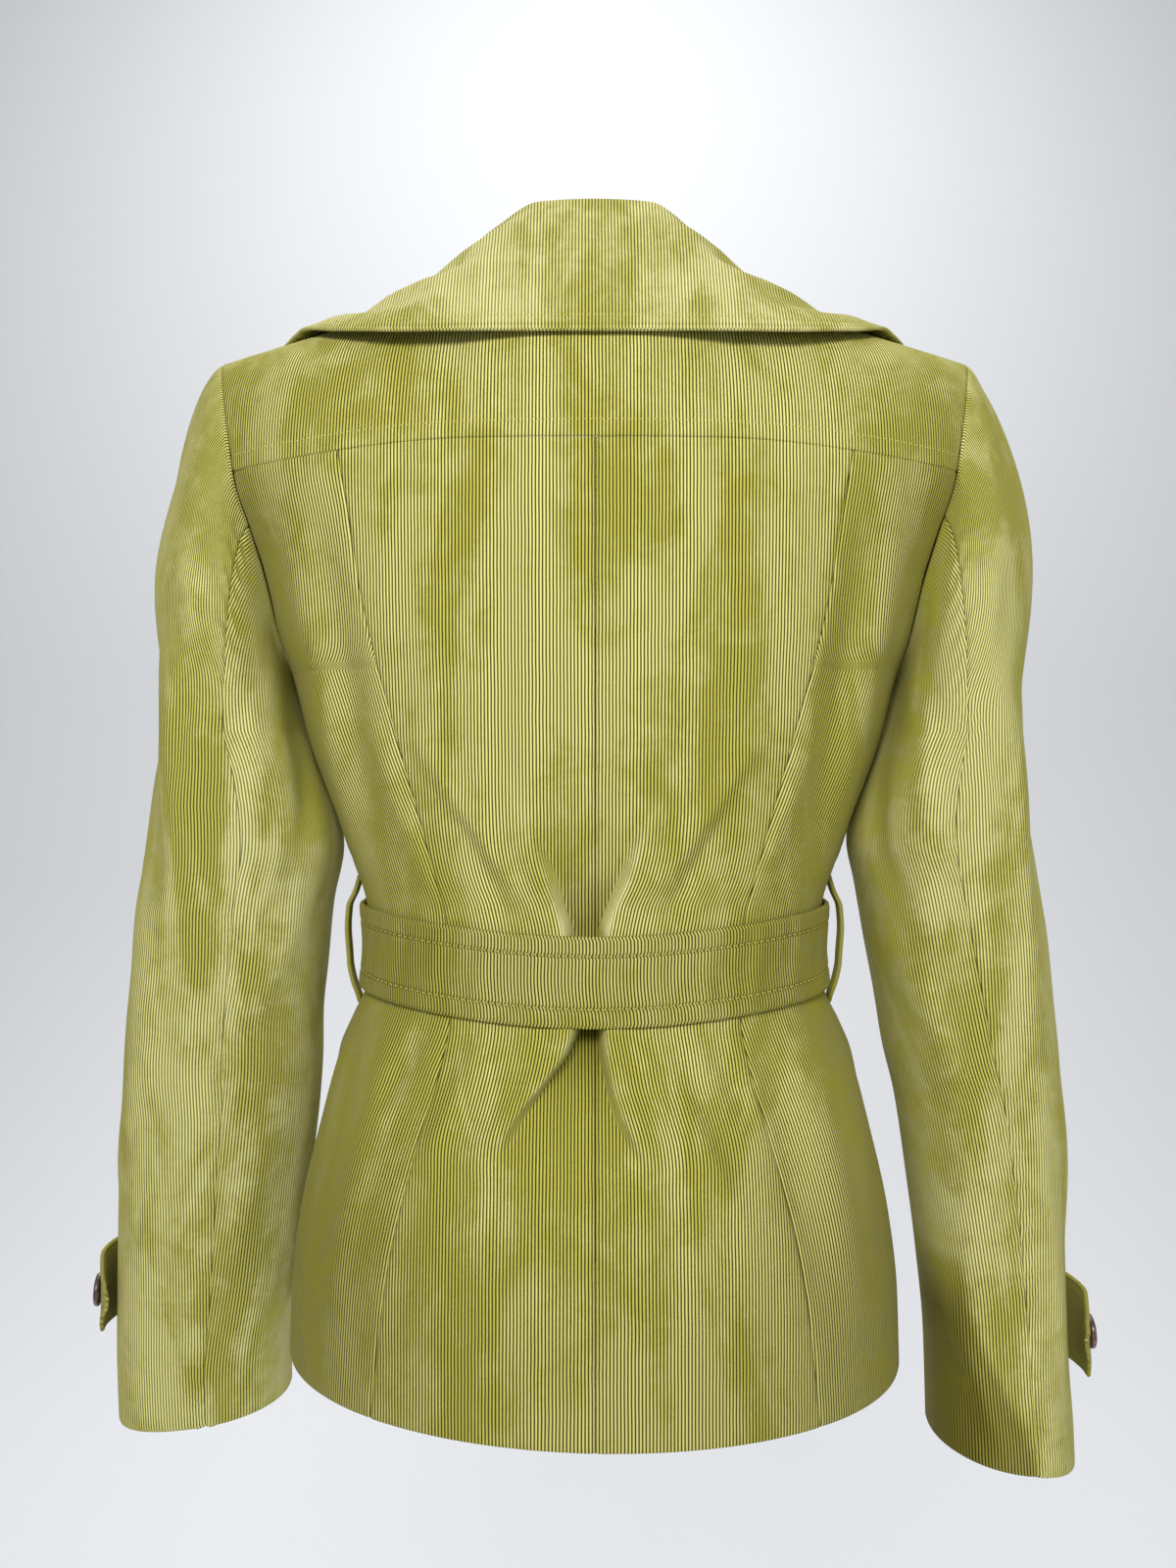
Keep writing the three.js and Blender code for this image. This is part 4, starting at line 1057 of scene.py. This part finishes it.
def sleeve_surface(name, side):
    seam = armhole_line(side)
    rings = sleeve_rings[name]

    def ring_at(angle, z):
        c, s = np.cos(np.radians(angle)), np.sin(np.radians(angle))
        power = 2 / SLEEVE_SQUARE
        inner, outer = rings["inner"](z), rings["outer"](z)
        middle, half = (inner + outer) / 2, (outer - inner) / 2
        x = middle + half * np.sign(c) * np.abs(c) ** power
        y = rings["y"](z) + rings["depth"](z) * np.sign(s) * np.abs(s) ** power
        rise = CUFF_RISE * ease(CUFF_RISE_TOP, CUFF_Z, z) * (1 - c) / 2
        return np.stack([side * x, y, z + rise], axis=-1)

    def outward(p, z):
        middle = side * (rings["inner"](z) + rings["outer"](z)) / 2
        away = np.stack([p[..., 0] - middle, p[..., 1] - rings["y"](z), np.zeros(np.shape(z))], axis=-1)
        return unit(away)

    def point(angle, s, out=0.0, fine=True):
        angle, s = np.broadcast_arrays(np.asarray(angle, float), np.asarray(s, float))
        turn = (angle + 180) % 360 - 180
        turn = np.where(turn == -180, 180, turn)
        z = lerp(SLEEVE_TOP_Z, CUFF_Z, (s - CAP_SHARE) / (1 - CAP_SHARE))
        low = ring_at(turn, z)
        low = low + outward(low, z) * (sleeve_fold(name, turn, z, fine) + out)[..., None]
        top = np.full(turn.shape, float(SLEEVE_TOP_Z))
        start, end = seam(turn), ring_at(turn, top)
        inwards = ease(90, 170, np.abs(turn))
        control = np.stack(
            [
                lerp(start[..., 0], end[..., 0], HEAD_TURN[0]) + side * 10 * inwards,
                lerp(start[..., 1], end[..., 1], HEAD_TURN[1]),
                lerp(start[..., 2], end[..., 2], HEAD_TURN[2]) + 4 * inwards,
            ],
            axis=-1,
        )
        t = np.clip(s / CAP_SHARE, 0, 1)[..., None]
        cap = start * (1 - t) ** 2 + control * 2 * t * (1 - t) + end * t * t
        fold = sleeve_fold(name, turn, cap[..., 2], fine) * ease(0, 0.3, t[..., 0]) + out
        cap = cap + outward(cap, top) * fold[..., None]
        made = np.where((s >= CAP_SHARE)[..., None], low, cap)
        near_body = (made[..., 2] < UNDERARM_Z - 1) & (made[..., 2] > -470) & (side * made[..., 0] < 200)
        for at in np.argwhere(near_body):
            p = made[tuple(at)]
            least = body_reach(side, p[2], p[1]) + CLEAR
            if side * p[0] < least:
                made[tuple(at)] = (side * least, p[1], p[2])
        return made

    return point


sleeves = {name: sleeve_surface(name, side) for name, side in SIDES}


def sleeve_share(z):
    return CAP_SHARE + (1 - CAP_SHARE) * (SLEEVE_TOP_Z - z) / (SLEEVE_TOP_Z - CUFF_Z)


# %% Sleeve panels
FRONT_SEAM = -112
HIND_SEAM = {"left": lambda s: 101 + 0 * s, "right": lambda s: lerp(97, 80, ease(0.4, 1, s))}
PUCKER = 0.55


CUFF_SHADE = {"left": 0.1, "right": 0.9}
UNDER_PAINTED_LIGHT = {"left": 0.35, "right": 0.1}
SLEEVE_PALER = 0.15


def sleeve_brushed(name, angle, s):
    """Painted shade on the cuff's inner side, most on the right one; painted light behind the arm; and the
    whole sleeve a little paler.
    """
    low_end = ease(sleeve_share(-530), sleeve_share(-585), s)
    boundary = lerp(126, 80, ease(sleeve_share(-560), 1, s))
    inner_side = ease(-6, 6, angle - boundary) * ease(-6, 6, 235 - angle)
    behind = bump(angle - 150, 45) * ease(0.35, 0.5, s)
    return CUFF_SHADE[name] * inner_side * low_end - UNDER_PAINTED_LIGHT[name] * behind - SLEEVE_PALER


def sleeve_panel(name, side, part):
    cap = np.concatenate([[0.0005, 0.004, 0.009, 0.015, 0.023, 0.034], np.linspace(0.05, 1, 56)]) * CAP_SHARE
    heights = np.arange(SLEEVE_TOP_Z - 4, CUFF_Z + 3, -4.0)
    arm = sleeve_share(np.concatenate([heights, [CUFF_Z + 1.6, CUFF_Z + 0.8, CUFF_Z]]))
    s = np.concatenate([cap, arm])
    hind = HIND_SEAM[name](s)
    if part == "outer":
        shares = spaced(196, 3.2)
        start, end = np.full(len(s), float(FRONT_SEAM)), hind
    else:
        shares = spaced(140, 3.2)
        start, end = hind, np.full(len(s), FRONT_SEAM + 360.0)
    angle = lerp(start[:, None], end[:, None], shares[None, :])
    grid = sleeves[name](angle, s[:, None])
    beside = edge_distance(grid, "R" if part == "outer" else "L")
    down = run(grid, 0)
    uneven = 0.6 + 0.4 * np.sin(down / 41 + side)
    beat = np.sin(down / 1.9 + 1.3 * np.sin(down / 17))
    ripple = PUCKER * uneven * beat * bump(beside - 3, 5) * ease(0.02, 0.1, s)[:, None]
    grid = grid + grid_normals(grid, -side) * ripple[..., None]
    grid = sewn(grid, -side, "LRB", free="T", seed=5 * side)
    across = run(grid, 1)
    middle = len(shares) // 2
    grain = (across - across[:, [middle]]) * side + (0 if part == "outer" else 300)
    brushed = sleeve_brushed(name, angle, s[:, None])
    names = f"sleeve_{part}_{name}", f"sleeve_{name}_{part}"
    cloth(*names, grid, -side, CLOTH, grain, free="T", brushed=brushed)


for name, side in SIDES:
    sleeve_panel(name, side, "outer")
    sleeve_panel(name, side, "under")

# %% [markdown]
# ## The collar
# The collar is one folded piece: a stand that rises from the neck seam, a soft fold, and a wide leaf that
# lies on the yoke and the chest. k runs from the centre back (0) past the side neck point (1) and the
# yoke's level (2) to the end of the roll line (3).

# %% Collar tables
collar_fold = curves(
    ["k", "rise", "out", "roll"],
    [
        [0, 38, -2, 8],
        [0.4, 38, -3, 5],
        [0.65, 30, -3, -5],
        [0.85, 22, -2, -10],
        [1, 16, 0, -12],
        [1.33, 12, 5, -8],
        [1.66, 11, 7, 6],
        [2, 9, 7, 12],
        [2.4, 7, 4.5, 8],
        [2.75, 5.5, 2, 4],
        [3, 4.8, 1, 2],
    ],
)
# k and then x, y and z over the yoke
EDGE_BACK = [
    (0, 0, 95, -49.5),
    (0.25, 48, 94, -49),
    (0.5, 96, 87, -47),
    (0.75, 138, 63.5, -38),
    (0.95, 166, 27, -26),
]
# k and then the share across and the place down the chest
EDGE_CHEST = [
    (1.15, 0.8, 0.12),
    (1.4, 0.83, 0.45),
    (1.66, 0.78, 0.82),
    (2, 0.62, 1.16),
    (2.4, 0.38, 1.47),
    (2.75, 0.16, 1.72),
    (3, 0.05, 1.9),
]
LEAF_AIR = 4
LEFT_END = 0.68
LEFT_FULLER = 5


# %% Collar surface
def chest_point(side, c, w):
    if w <= 1:
        return upper_front(side, c, 1 - w)
    z = lerp(YOKE_Z, BREAK_Z, w - 1)
    return body_point(side, lerp(along_at_front_x(z, roll_x(z)), along_at_y(z, -armhole["front"](z)), c), z)


def chest_normal(side, c, w):
    w = min(max(w, 0.02), 1.95)
    u = chest_point(side, c + 0.02, w) - chest_point(side, c - 0.02, w)
    v = chest_point(side, c, w + 0.02) - chest_point(side, c, w - 0.02)
    return unit(np.cross(u, v)) * -side


def bend(a, b, c, t):
    t = np.asarray(t)[:, None]
    return a * (1 - t) ** 2 + b * 2 * t * (1 - t) + c * t * t


def collar_sections(side, ks, ws):
    """One row for each k, with a point for each w from the neck seam (0) to the leaf's edge (4)."""

    def shorter(w):
        return 1 + (w - 1) * LEFT_END if w > 1 and side > 0 else w

    edges = [(k, side * x, y, z) for k, x, y, z in EDGE_BACK]
    for k, c, w in EDGE_CHEST:
        at = chest_point(side, c, shorter(w)) + LEAF_AIR * chest_normal(side, c, shorter(w))
        edges.append((k, *at))
    edge = curves(["k", "x", "y", "z"], edges)
    rows = []
    for k in ks:
        rise, out, roll = (float(collar_fold[key](k)) for key in ("rise", "out", "roll"))
        if side > 0:
            out += LEFT_FULLER * math.exp(-(((k - 0.95) / 0.35) ** 2))
        front = float(ease(1, 1.7, k))
        lift = unit(lerp(np.array([0, 0, 1.0]), chest_normal(side, 0.02, shorter(max(k - 1, 0.02))), front))
        seam = top_line(side * NECK_HALF * k) if k <= 1 else chest_point(side, 0, shorter(k - 1))
        start = seam + lift * (0.5 + 1.3 * front)
        end = np.array([float(edge[key](k)) for key in "xyz"])
        away = end - start
        away = unit(away - lift * np.dot(away, lift))
        fold = start + lift * rise + away * out
        r = min(5.5, rise * 0.6)
        stand_top = fold - lift * r - away * r
        leaf_top = fold - lift * r * 0.8 + away * r * 1.2
        drop = end - leaf_top
        up = unit(lift - drop * np.dot(lift, drop) / np.dot(drop, drop))
        belly = leaf_top + drop * 0.45 + up * roll
        parts = [
            (start, (start + stand_top) / 2 + away, stand_top),
            (stand_top, fold - away * r, fold),
            (fold, fold + away * r, leaf_top),
            (leaf_top, belly, end),
        ]
        row = np.zeros((len(ws), 3))
        for i, (a, b, c) in enumerate(parts):
            here = (ws >= i) & (ws <= i + 1)
            row[here] = bend(a, b, c, ws[here] - i)
        rows.append(row)
    return np.array(rows)


# %% Collar piece
COLLAR_STITCH = 8
# share of the way down, share round the neck, height: soft rolls where the leaf turns over the shoulder
COLLAR_WAVES = [(3.2, 0.62, 2.4), (3.38, 0.72, -2.4), (3.54, 0.74, 3), (3.72, 0.85, -2.2), (3.84, 0.9, 1.6)]


def collar():
    leaf = 3 + spaced(86, 3.0)
    ws = np.concatenate([np.linspace(0, 1, 10)[:-1], np.linspace(1, 3, 13)[:-1], leaf])
    ks = np.concatenate([np.linspace(0, 1.2, 64), np.linspace(1.2, 3, 88)[1:]])
    left, right = collar_sections(1, ks, ws), collar_sections(-1, ks[1:][::-1], ws)
    path = np.concatenate([right, left])
    round_back = np.abs(np.concatenate([ks[1:][::-1], ks]))[:, None]
    waves = sum(tall * bump(ws - w, 0.07) * bump(round_back - k, 0.22) for w, k, tall in COLLAR_WAVES)
    grid = path + grid_normals(path, -1) * (DOUBLE + waves)[..., None]
    grid = sewn(grid, -1, stitched=[("R", COLLAR_STITCH), ("R", 2.6)], free="RBT", seed=6)
    from_edge = edge_distance(grid, "R")
    # Painted shade along the two stitch lines, and the rest of the collar painted a little paler
    collar_brushed = 0.7 * bump(from_edge - COLLAR_STITCH, 0.8) + 0.4 * bump(from_edge - 2.6, 0.7) - 0.3
    wide = run(grid, 0)
    round_neck = wide - wide[[len(ks) - 1]]
    straight = grid[..., 0] * 1.04
    fold_column = int(np.argmin(np.abs(ws - 2)))
    cloth(
        "collar_piece", "collar", grid, -1, DOUBLE, round_neck, held="folded", rests_on=["yoke_panel"],
        free="RBT", split=fold_column, split_uv=straight, brushed=collar_brushed,
    )
    return grid


collar_grid = collar()

# %% [markdown]
# ## Belt, loops and cuff tabs
# The belt is a tube of cloth pressed flat, so it is a little thicker between its two rows of stitches
# than at its edges. Its wales run across it. The loops at the side seams stand off the waist, because the
# belt has pulled them out. The cuff tabs are sewn in at the front seam of the sleeve and lift towards the
# point.

# %% Belt
BELT_THICK = 2.5
BELT_STITCH = 9.5
side_alongs = np.array([along_at_side(z) for z in levels])


def belt_point(side, share, across, out=0.0):
    share, across = np.broadcast_arrays(np.asarray(share, float), np.asarray(across, float))
    z = lerp(BELT_Z_BACK, BELT_Z_SIDE, ease(0, 1, share)) + across * 0.5 * BELT_WIDTH
    half = np.interp(z, levels, side_alongs)
    along = np.where(share <= 1, share * half, lerp(half, girth(z), share - 1))
    return ring_point(side, along, z, BELT_GAP + out)


def belt_swell(q, across, seed):
    """The padding between the stitch rows, and small drag lines where the loops and the fold pull."""
    inside = 1 - np.abs(across) ** 4
    drag = np.sin(q * 61 + 1.7 * across + seed) * np.sin(q * 23 + seed) * 0.35
    return BELT_THICK - 0.4 + 0.55 * inside + drag * inside


# Painted shade along the stitch lines, and the whole belt a little darker, partly painted shade
def belt_brushed(grid):
    from_edge = np.minimum(edge_distance(grid, "T"), edge_distance(grid, "B"))
    return 0.3 + 0.5 * bump(from_edge - BELT_STITCH, 0.8)


def belt_part(name, node_name, from_share, to_share):
    q = np.linspace(-1, 1, 261)
    edge = np.linspace(0.9, 1, 6)
    across = np.unique(np.concatenate([-edge, np.linspace(-0.9, 0.9, 40), edge]))
    share = lerp(from_share, to_share, np.abs(q))[None, :]
    out = belt_swell(q[None, :], across[:, None], from_share)
    left = belt_point(1, share, across[:, None], out)
    right = belt_point(-1, share, across[:, None], out)
    grid = np.where((q < 0)[None, :, None], right, left)
    sign = -1 if from_share == 0 else 1
    grid = sewn(grid, sign, stitched=[("T", BELT_STITCH), ("B", BELT_STITCH)], free="TB", seed=1)
    cloth(name, node_name, grid, sign, BELT_THICK, run(grid, 1), free="TB", brushed=belt_brushed(grid))
    return grid


belt_back_grid = belt_part("belt_behind", "belt_back", 0, 0.999)
belt_front_grid = belt_part("belt_before", "belt_front", 2, 1.001)
END_FROM = 0.04
END_TO = 0.62
END_POINT = 0.07
END_GAP = 0.7


def belt_end():
    corner = END_TO - END_POINT
    shares = np.concatenate([np.linspace(END_FROM, corner, 60), np.linspace(corner, END_TO, 14)[1:]])
    across = np.linspace(-1, 1, 22)
    narrow = lerp(1, 0.2, np.clip((shares - corner) / END_POINT, 0, 1))
    lifted = 2.2 * ease(0.45, END_TO, shares)[None, :]
    swell = belt_swell(shares[None, :], across[:, None], 5)
    height = BELT_THICK + END_GAP + swell + lifted
    grid = belt_point(1, 2 - shares[None, :], across[:, None] * narrow[None, :] * 0.97, height)
    grid = sewn(grid, 1, stitched=[("T", BELT_STITCH), ("B", BELT_STITCH)], free="TBLR", seed=2)
    cloth(
        "belt_tip", "belt_end", grid, 1, BELT_THICK, run(grid, 1), rests_on=["belt_before"],
        free="TBLR", brushed=belt_brushed(grid),
    )
    return grid


belt_end_grid = belt_end()

# %% Belt loops
LOOP_WIDTH = 9
LOOP_TOP = -331
LOOP_BOTTOM = -404
loop_off = through(
    [LOOP_BOTTOM, -393, -380, -364, -349, -338, LOOP_TOP],
    [0.5, 7.5, 12, 13.6, 11.5, 5, 0.5],
)


def belt_loop(name, side):
    z = np.linspace(LOOP_BOTTOM, LOOP_TOP, 60)[:, None]
    y = np.linspace(-LOOP_WIDTH / 2, LOOP_WIDTH / 2, 11)[None, :]
    along = np.array([along_at_y(level, y[0]) for level in z[:, 0]])
    grid = ring_point(side, along, z + 0 * y, loop_off(z) + DOUBLE)
    grid = sewn(grid, side, free="LR", stitched=[("L", 1.8), ("R", 1.8)])
    cloth(f"loop_{name}", f"belt_loop_{name}", grid, side, DOUBLE, run(grid, 1) + 100, free="LRTB")


for name, side in SIDES:
    belt_loop(name, side)

# %% Cuff tabs
# z, width, start, end, stand
TABS = {"left": (-584, 50, -100, 34, 6), "right": (-592, 50, -100, 36, 8)}
TAB_POINT = 16
TAB_STITCH = 6


def tab_point(name, side, angle, across, out=0.0):
    z, width, start, end, stand = TABS[name]
    angle, across = np.broadcast_arrays(np.asarray(angle, float), np.asarray(across, float))
    t = np.clip((angle - start) / (end - start), 0, 1)
    narrow = lerp(1, 0.16, np.clip((angle - (end - TAB_POINT)) / TAB_POINT, 0, 1))
    s = sleeve_share(z + across * 0.5 * width * narrow)
    base = sleeves[name](angle, s)
    u = sleeves[name](angle + 1.5, s) - sleeves[name](angle - 1.5, s)
    v = sleeves[name](angle, s + 0.008) - sleeves[name](angle, s - 0.008)
    normal = unit(np.cross(u, v)) * -side
    raised = lerp(0.9, 1.4, ease(0, 0.3, t)) + stand * ease(0.35, 1, t) ** 1.2 + out
    return base + normal * raised[..., None]


def cuff_tab(name, side):
    _, _, start, end, _ = TABS[name]
    corner = end - TAB_POINT
    angle = np.concatenate([np.linspace(start, corner, 64), np.linspace(corner, end, 16)[1:]])
    across = np.linspace(-1, 1, 30)
    curl = 0.9 * np.abs(across[:, None]) ** 3 * ease(start + 60, end, angle)[None, :]
    grid = tab_point(name, side, angle[None, :], across[:, None], DOUBLE + curl)
    grid = sewn(grid, side, free="TBR", stitched=[(edge, TAB_STITCH) for edge in "TBR"], seed=side)
    down = run(grid, 0)
    chevron = np.abs(across[:, None]) * 10 * ease(end - 30, end, angle)[None, :]
    grain = down - chevron
    names = f"tab_{name}", f"cuff_tab_{name}"
    cloth(*names, grid, side, DOUBLE, grain, rests_on=[f"sleeve_outer_{name}"], free="TBRL")
    return grid


tab_grids = {name: cuff_tab(name, side) for name, side in SIDES}

# %% [markdown]
# ## Thread
# A row of topstitching is one thread that dives through the cloth every few millimetres. Each stitch that
# shows is a short rounded bar, a little sunk at both ends. All of them are one mesh.

# %% Topstitching
STITCH = 3.1
STITCH_STEP = 3.9
THREAD = 0.32


def stitches(name, lines):
    points, faces = [], []
    turns = np.arange(6) * np.pi / 3
    for line, outward in lines:
        along = run(line[None], 1)[0]
        starts = np.arange(0.5, along[-1] - STITCH, STITCH_STEP)
        for start in starts:
            at = start + STITCH * np.array([0, 0.15, 0.5, 0.85, 1])
            middle = np.stack([np.interp(at, along, line[:, k]) for k in range(3)], axis=-1)
            up = np.stack([np.interp(at, along, outward[:, k]) for k in range(3)], axis=-1)
            way = unit(middle[-1] - middle[0])
            across = unit(np.cross(up, way))
            middle = middle + up * (np.array([-0.35, 0.05, 0.2, 0.05, -0.35]) - 0.2)[:, None]
            wide = THREAD * np.array([0.35, 0.9, 1, 0.9, 0.35])
            first = len(points)
            for c, u, a, r in zip(middle, up, across, wide):
                points.extend((c + r * (np.cos(t) * a + np.sin(t) * u)) * MM for t in turns)
            for i in range(4):
                for j in range(6):
                    k = (j + 1) % 6
                    base = first + 6 * i
                    faces.append((base + j, base + k, base + 6 + k, base + 6 + j))
            faces.append(tuple(first + 5 - j for j in range(6)))
            faces.append(tuple(first + 24 + j for j in range(6)))
    piece = smooth_object(name, [tuple(p) for p in points], faces)
    piece.data.materials.append(THREAD_MATERIAL)
    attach(piece, "root")
    print(f"{name}: {len(faces) // 26} stitches")


def stitch_row(grid, sign, edge, away):
    return line_at(grid, grid, edge, away), unit(line_at(grid, grid_normals(grid, sign), edge, away))


THREAD_MATERIAL = plain("Olive thread", (0.5, 0.47, 0.1), 0.55)
stitches("yoke_stitches", [stitch_row(yoke_grid, -1, "B", YOKE_STITCH)])
stitches("collar_stitches", [stitch_row(collar_grid, -1, "R", COLLAR_STITCH)])
stitches(
    "belt_stitches",
    [stitch_row(belt_back_grid, -1, edge, BELT_STITCH) for edge in "TB"]
    + [stitch_row(belt_front_grid, 1, edge, BELT_STITCH) for edge in "TB"]
    + [stitch_row(belt_end_grid, 1, edge, BELT_STITCH) for edge in "TB"],
)
tab_rows = [stitch_row(tab_grids[name], side, edge, TAB_STITCH) for name, side in SIDES for edge in "TB"]
stitches("tab_stitches", tab_rows)

# %% [markdown]
# ## Buttons and buckle
# The buttons are turned from horn or a plastic like it: a raised rim, a dished middle and four holes.
# They are made as one grid of rings, and the holes are pits in it. The buckle is a frame with a middle
# bar, cut out and rounded.

# %% Horn
def horn_material(name):
    made = bpy.data.materials.new(name)
    made.use_nodes = True
    tree = made.node_tree
    shader = tree.nodes["Principled BSDF"]
    place = node(tree, "ShaderNodeTexCoord").outputs["Object"]
    veins = noise(tree, place, 140, 3, 0.6, 1.5)
    colour = mix_colour(tree, remap(tree, veins, 0.4, 0.65), (0.06, 0.035, 0.03, 1), (0.17, 0.1, 0.085, 1))
    tree.links.new(colour, shader.inputs["Base Color"])
    shader.inputs["Roughness"].default_value = 0.28
    shader.inputs["Coat Weight"].default_value = 0.4
    shader.inputs["Coat Roughness"].default_value = 0.15
    return made


HORN = horn_material("Brown horn")
HOLE_AWAY = 0.19  # shares of a button's radius
HOLE_RADIUS = 0.085


def button(name, node_name, centre, normal, radius, thick):
    """A disc about its own axis, from the middle of its face over the rim to the middle of its back."""
    middle = [0, 0.06, 0.12, 0.17, 0.22, 0.27, 0.32, 0.37, 0.42, 0.5]
    share = np.array(middle + [0.6, 0.68, 0.74, 0.8, 0.86, 0.92, 0.97, 1])
    height = thick * np.array([0.72] * len(middle) + [0.74, 0.8, 0.9, 0.98, 1, 0.97, 0.86, 0.7])
    turn = np.linspace(0, 2 * np.pi, 65)[:-1]
    r = np.concatenate([share, [1, 0.95, 0.8, 0.4, 0.0]])[:, None] * radius
    h = np.concatenate([height, thick * np.array([0.3, 0.08, 0, 0, 0])])[:, None] + 0 * turn
    x, y = r * np.cos(turn), r * np.sin(turn)
    for hx, hy in ((1, 1), (1, -1), (-1, 1), (-1, -1)):
        away = (x - hx * HOLE_AWAY * radius) ** 2 + (y - hy * HOLE_AWAY * radius) ** 2
        pit = np.exp(-((away / (HOLE_RADIUS * radius) ** 2) ** 2))
        h[: len(share)] -= 0.6 * thick * pit[: len(share)]
    normal = unit(np.array(normal))
    side = unit(np.cross(normal, (0, 0, 1.0)))
    up = np.cross(side, normal)
    points = centre + x[..., None] * side + y[..., None] * up + h[..., None] * normal
    rings, count = points.shape[:2]
    verts = points[1:-1].reshape(-1, 3)
    verts = np.concatenate([verts, points[0, :1], points[-1, :1]]) * MM
    faces = []
    for i in range(rings - 3):
        for j in range(count):
            k = (j + 1) % count
            faces.append((i * count + k, i * count + j, (i + 1) * count + j, (i + 1) * count + k))
    top, bottom = len(verts) - 2, len(verts) - 1
    last = (rings - 3) * count
    for j in range(count):
        k = (j + 1) % count
        faces.append((top, j, k))
        faces.append((bottom, last + k, last + j))
    piece = smooth_object(name, verts.tolist(), faces)
    piece.data.materials.append(HORN)
    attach(piece, "root")
    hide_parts(node_name)


CUFF_BUTTON_R = 9.5
BUTTON_R = 11
for name, side in SIDES:
    _, _, _, end, _ = TABS[name]
    at = end - TAB_POINT - 4
    corner = [tab_point(name, side, at + a, b, DOUBLE) for a, b in ((1, 0), (-1, 0), (0, 0.05), (0, -0.05))]
    facing = unit(np.cross(corner[0] - corner[1], corner[2] - corner[3])) * side
    centre = tab_point(name, side, at, 0, DOUBLE + 0.4)
    button(f"tab_button_{name}", f"cuff_button_{name}", centre, facing, CUFF_BUTTON_R, 3.2)
for i, z in enumerate((-232, -298, -446)):
    along = girth(z) - 2
    centre = body_point(-1, along, z)
    facing = np.array([0, -1, 0.0])
    name = f"front_button_{i + 1}"
    button(f"{name}_turned", name, centre + facing * 0.6, facing, BUTTON_R, 4)

# %% Buckle
for item in frame["nodes"]:
    name = item["name"] if isinstance(item, dict) else item
    if name == "belt_buckle":
        buckle = bpy.data.objects[name]
        buckle.data.materials.clear()
        buckle.data.materials.append(HORN)

# %% [markdown]
# ## Camera, light and room
# The camera stands 70 cm behind the jacket, level with its waist. The light is a large soft window behind
# the camera and above it, and the room is pale.

# %% Room and lights
PHOTO_FOCAL = 1225 / 1600 * 36
camera_data = bpy.data.cameras.new("camera")
camera_data.lens = PHOTO_FOCAL
camera_data.sensor_width = 36
camera_data.sensor_fit = "AUTO"
camera = bpy.data.objects.new("camera", camera_data)
camera.location = (0.0037, 0.7, -0.278)
camera.rotation_euler = (math.pi / 2, 0, math.pi)
bpy.context.scene.collection.objects.link(camera)
bpy.context.scene.camera = camera
FLOOR_Z = -1.5
WALL_Y = -3.4
COVE = 1.6


def backdrop():
    """A floor that bends up into the wall, so that no edge shows behind the jacket."""
    turn = np.radians(np.linspace(0, 90, 25))
    y = np.concatenate([[4.0], WALL_Y + COVE - COVE * np.sin(turn), [WALL_Y]])
    z = np.concatenate([[FLOOR_Z], FLOOR_Z + COVE - COVE * np.cos(turn), [5.0]])
    points = [(x, a, b) for a, b in zip(y, z) for x in (-8.0, 8.0)]
    faces = [(2 * i, 2 * i + 1, 2 * i + 3, 2 * i + 2) for i in range(len(y) - 1)]
    piece = smooth_object("backdrop", points, faces)
    piece.data.materials.append(plain("Pale paper", (0.78, 0.79, 0.81)))


backdrop()


def soft_light(name, place, aim, size, power, colour=(1, 1, 1)):
    data = bpy.data.lights.new(name, "AREA")
    data.shape = "DISK"
    data.size = size
    data.energy = power
    data.color = colour
    light = bpy.data.objects.new(name, data)
    light.location = place
    way = Vector(aim) - Vector(place)
    light.rotation_euler = way.to_track_quat("-Z", "Y").to_euler()
    bpy.context.scene.collection.objects.link(light)


soft_light("window", (0.2, 1.9, 0.7), (0, 0, -0.25), 0.8, 36, (1, 0.985, 0.95))
soft_light("fill", (-1.8, 1.3, -0.2), (0, 0, -0.35), 1.4, 5)
soft_light("front", (0.3, -2.2, 1.2), (0, 0, -0.3), 1.6, 22)
soft_light("wall", (0, -1.2, 2.4), (0, -3.4, -0.4), 2.4, 60)
world = bpy.data.worlds.new("room")
bpy.context.scene.world = world
world.use_nodes = True
world.node_tree.nodes["Background"].inputs[0].default_value = (0.86, 0.88, 0.92, 1)
world.node_tree.nodes["Background"].inputs[1].default_value = 0.4
bpy.context.scene.view_settings.view_transform = "Standard"
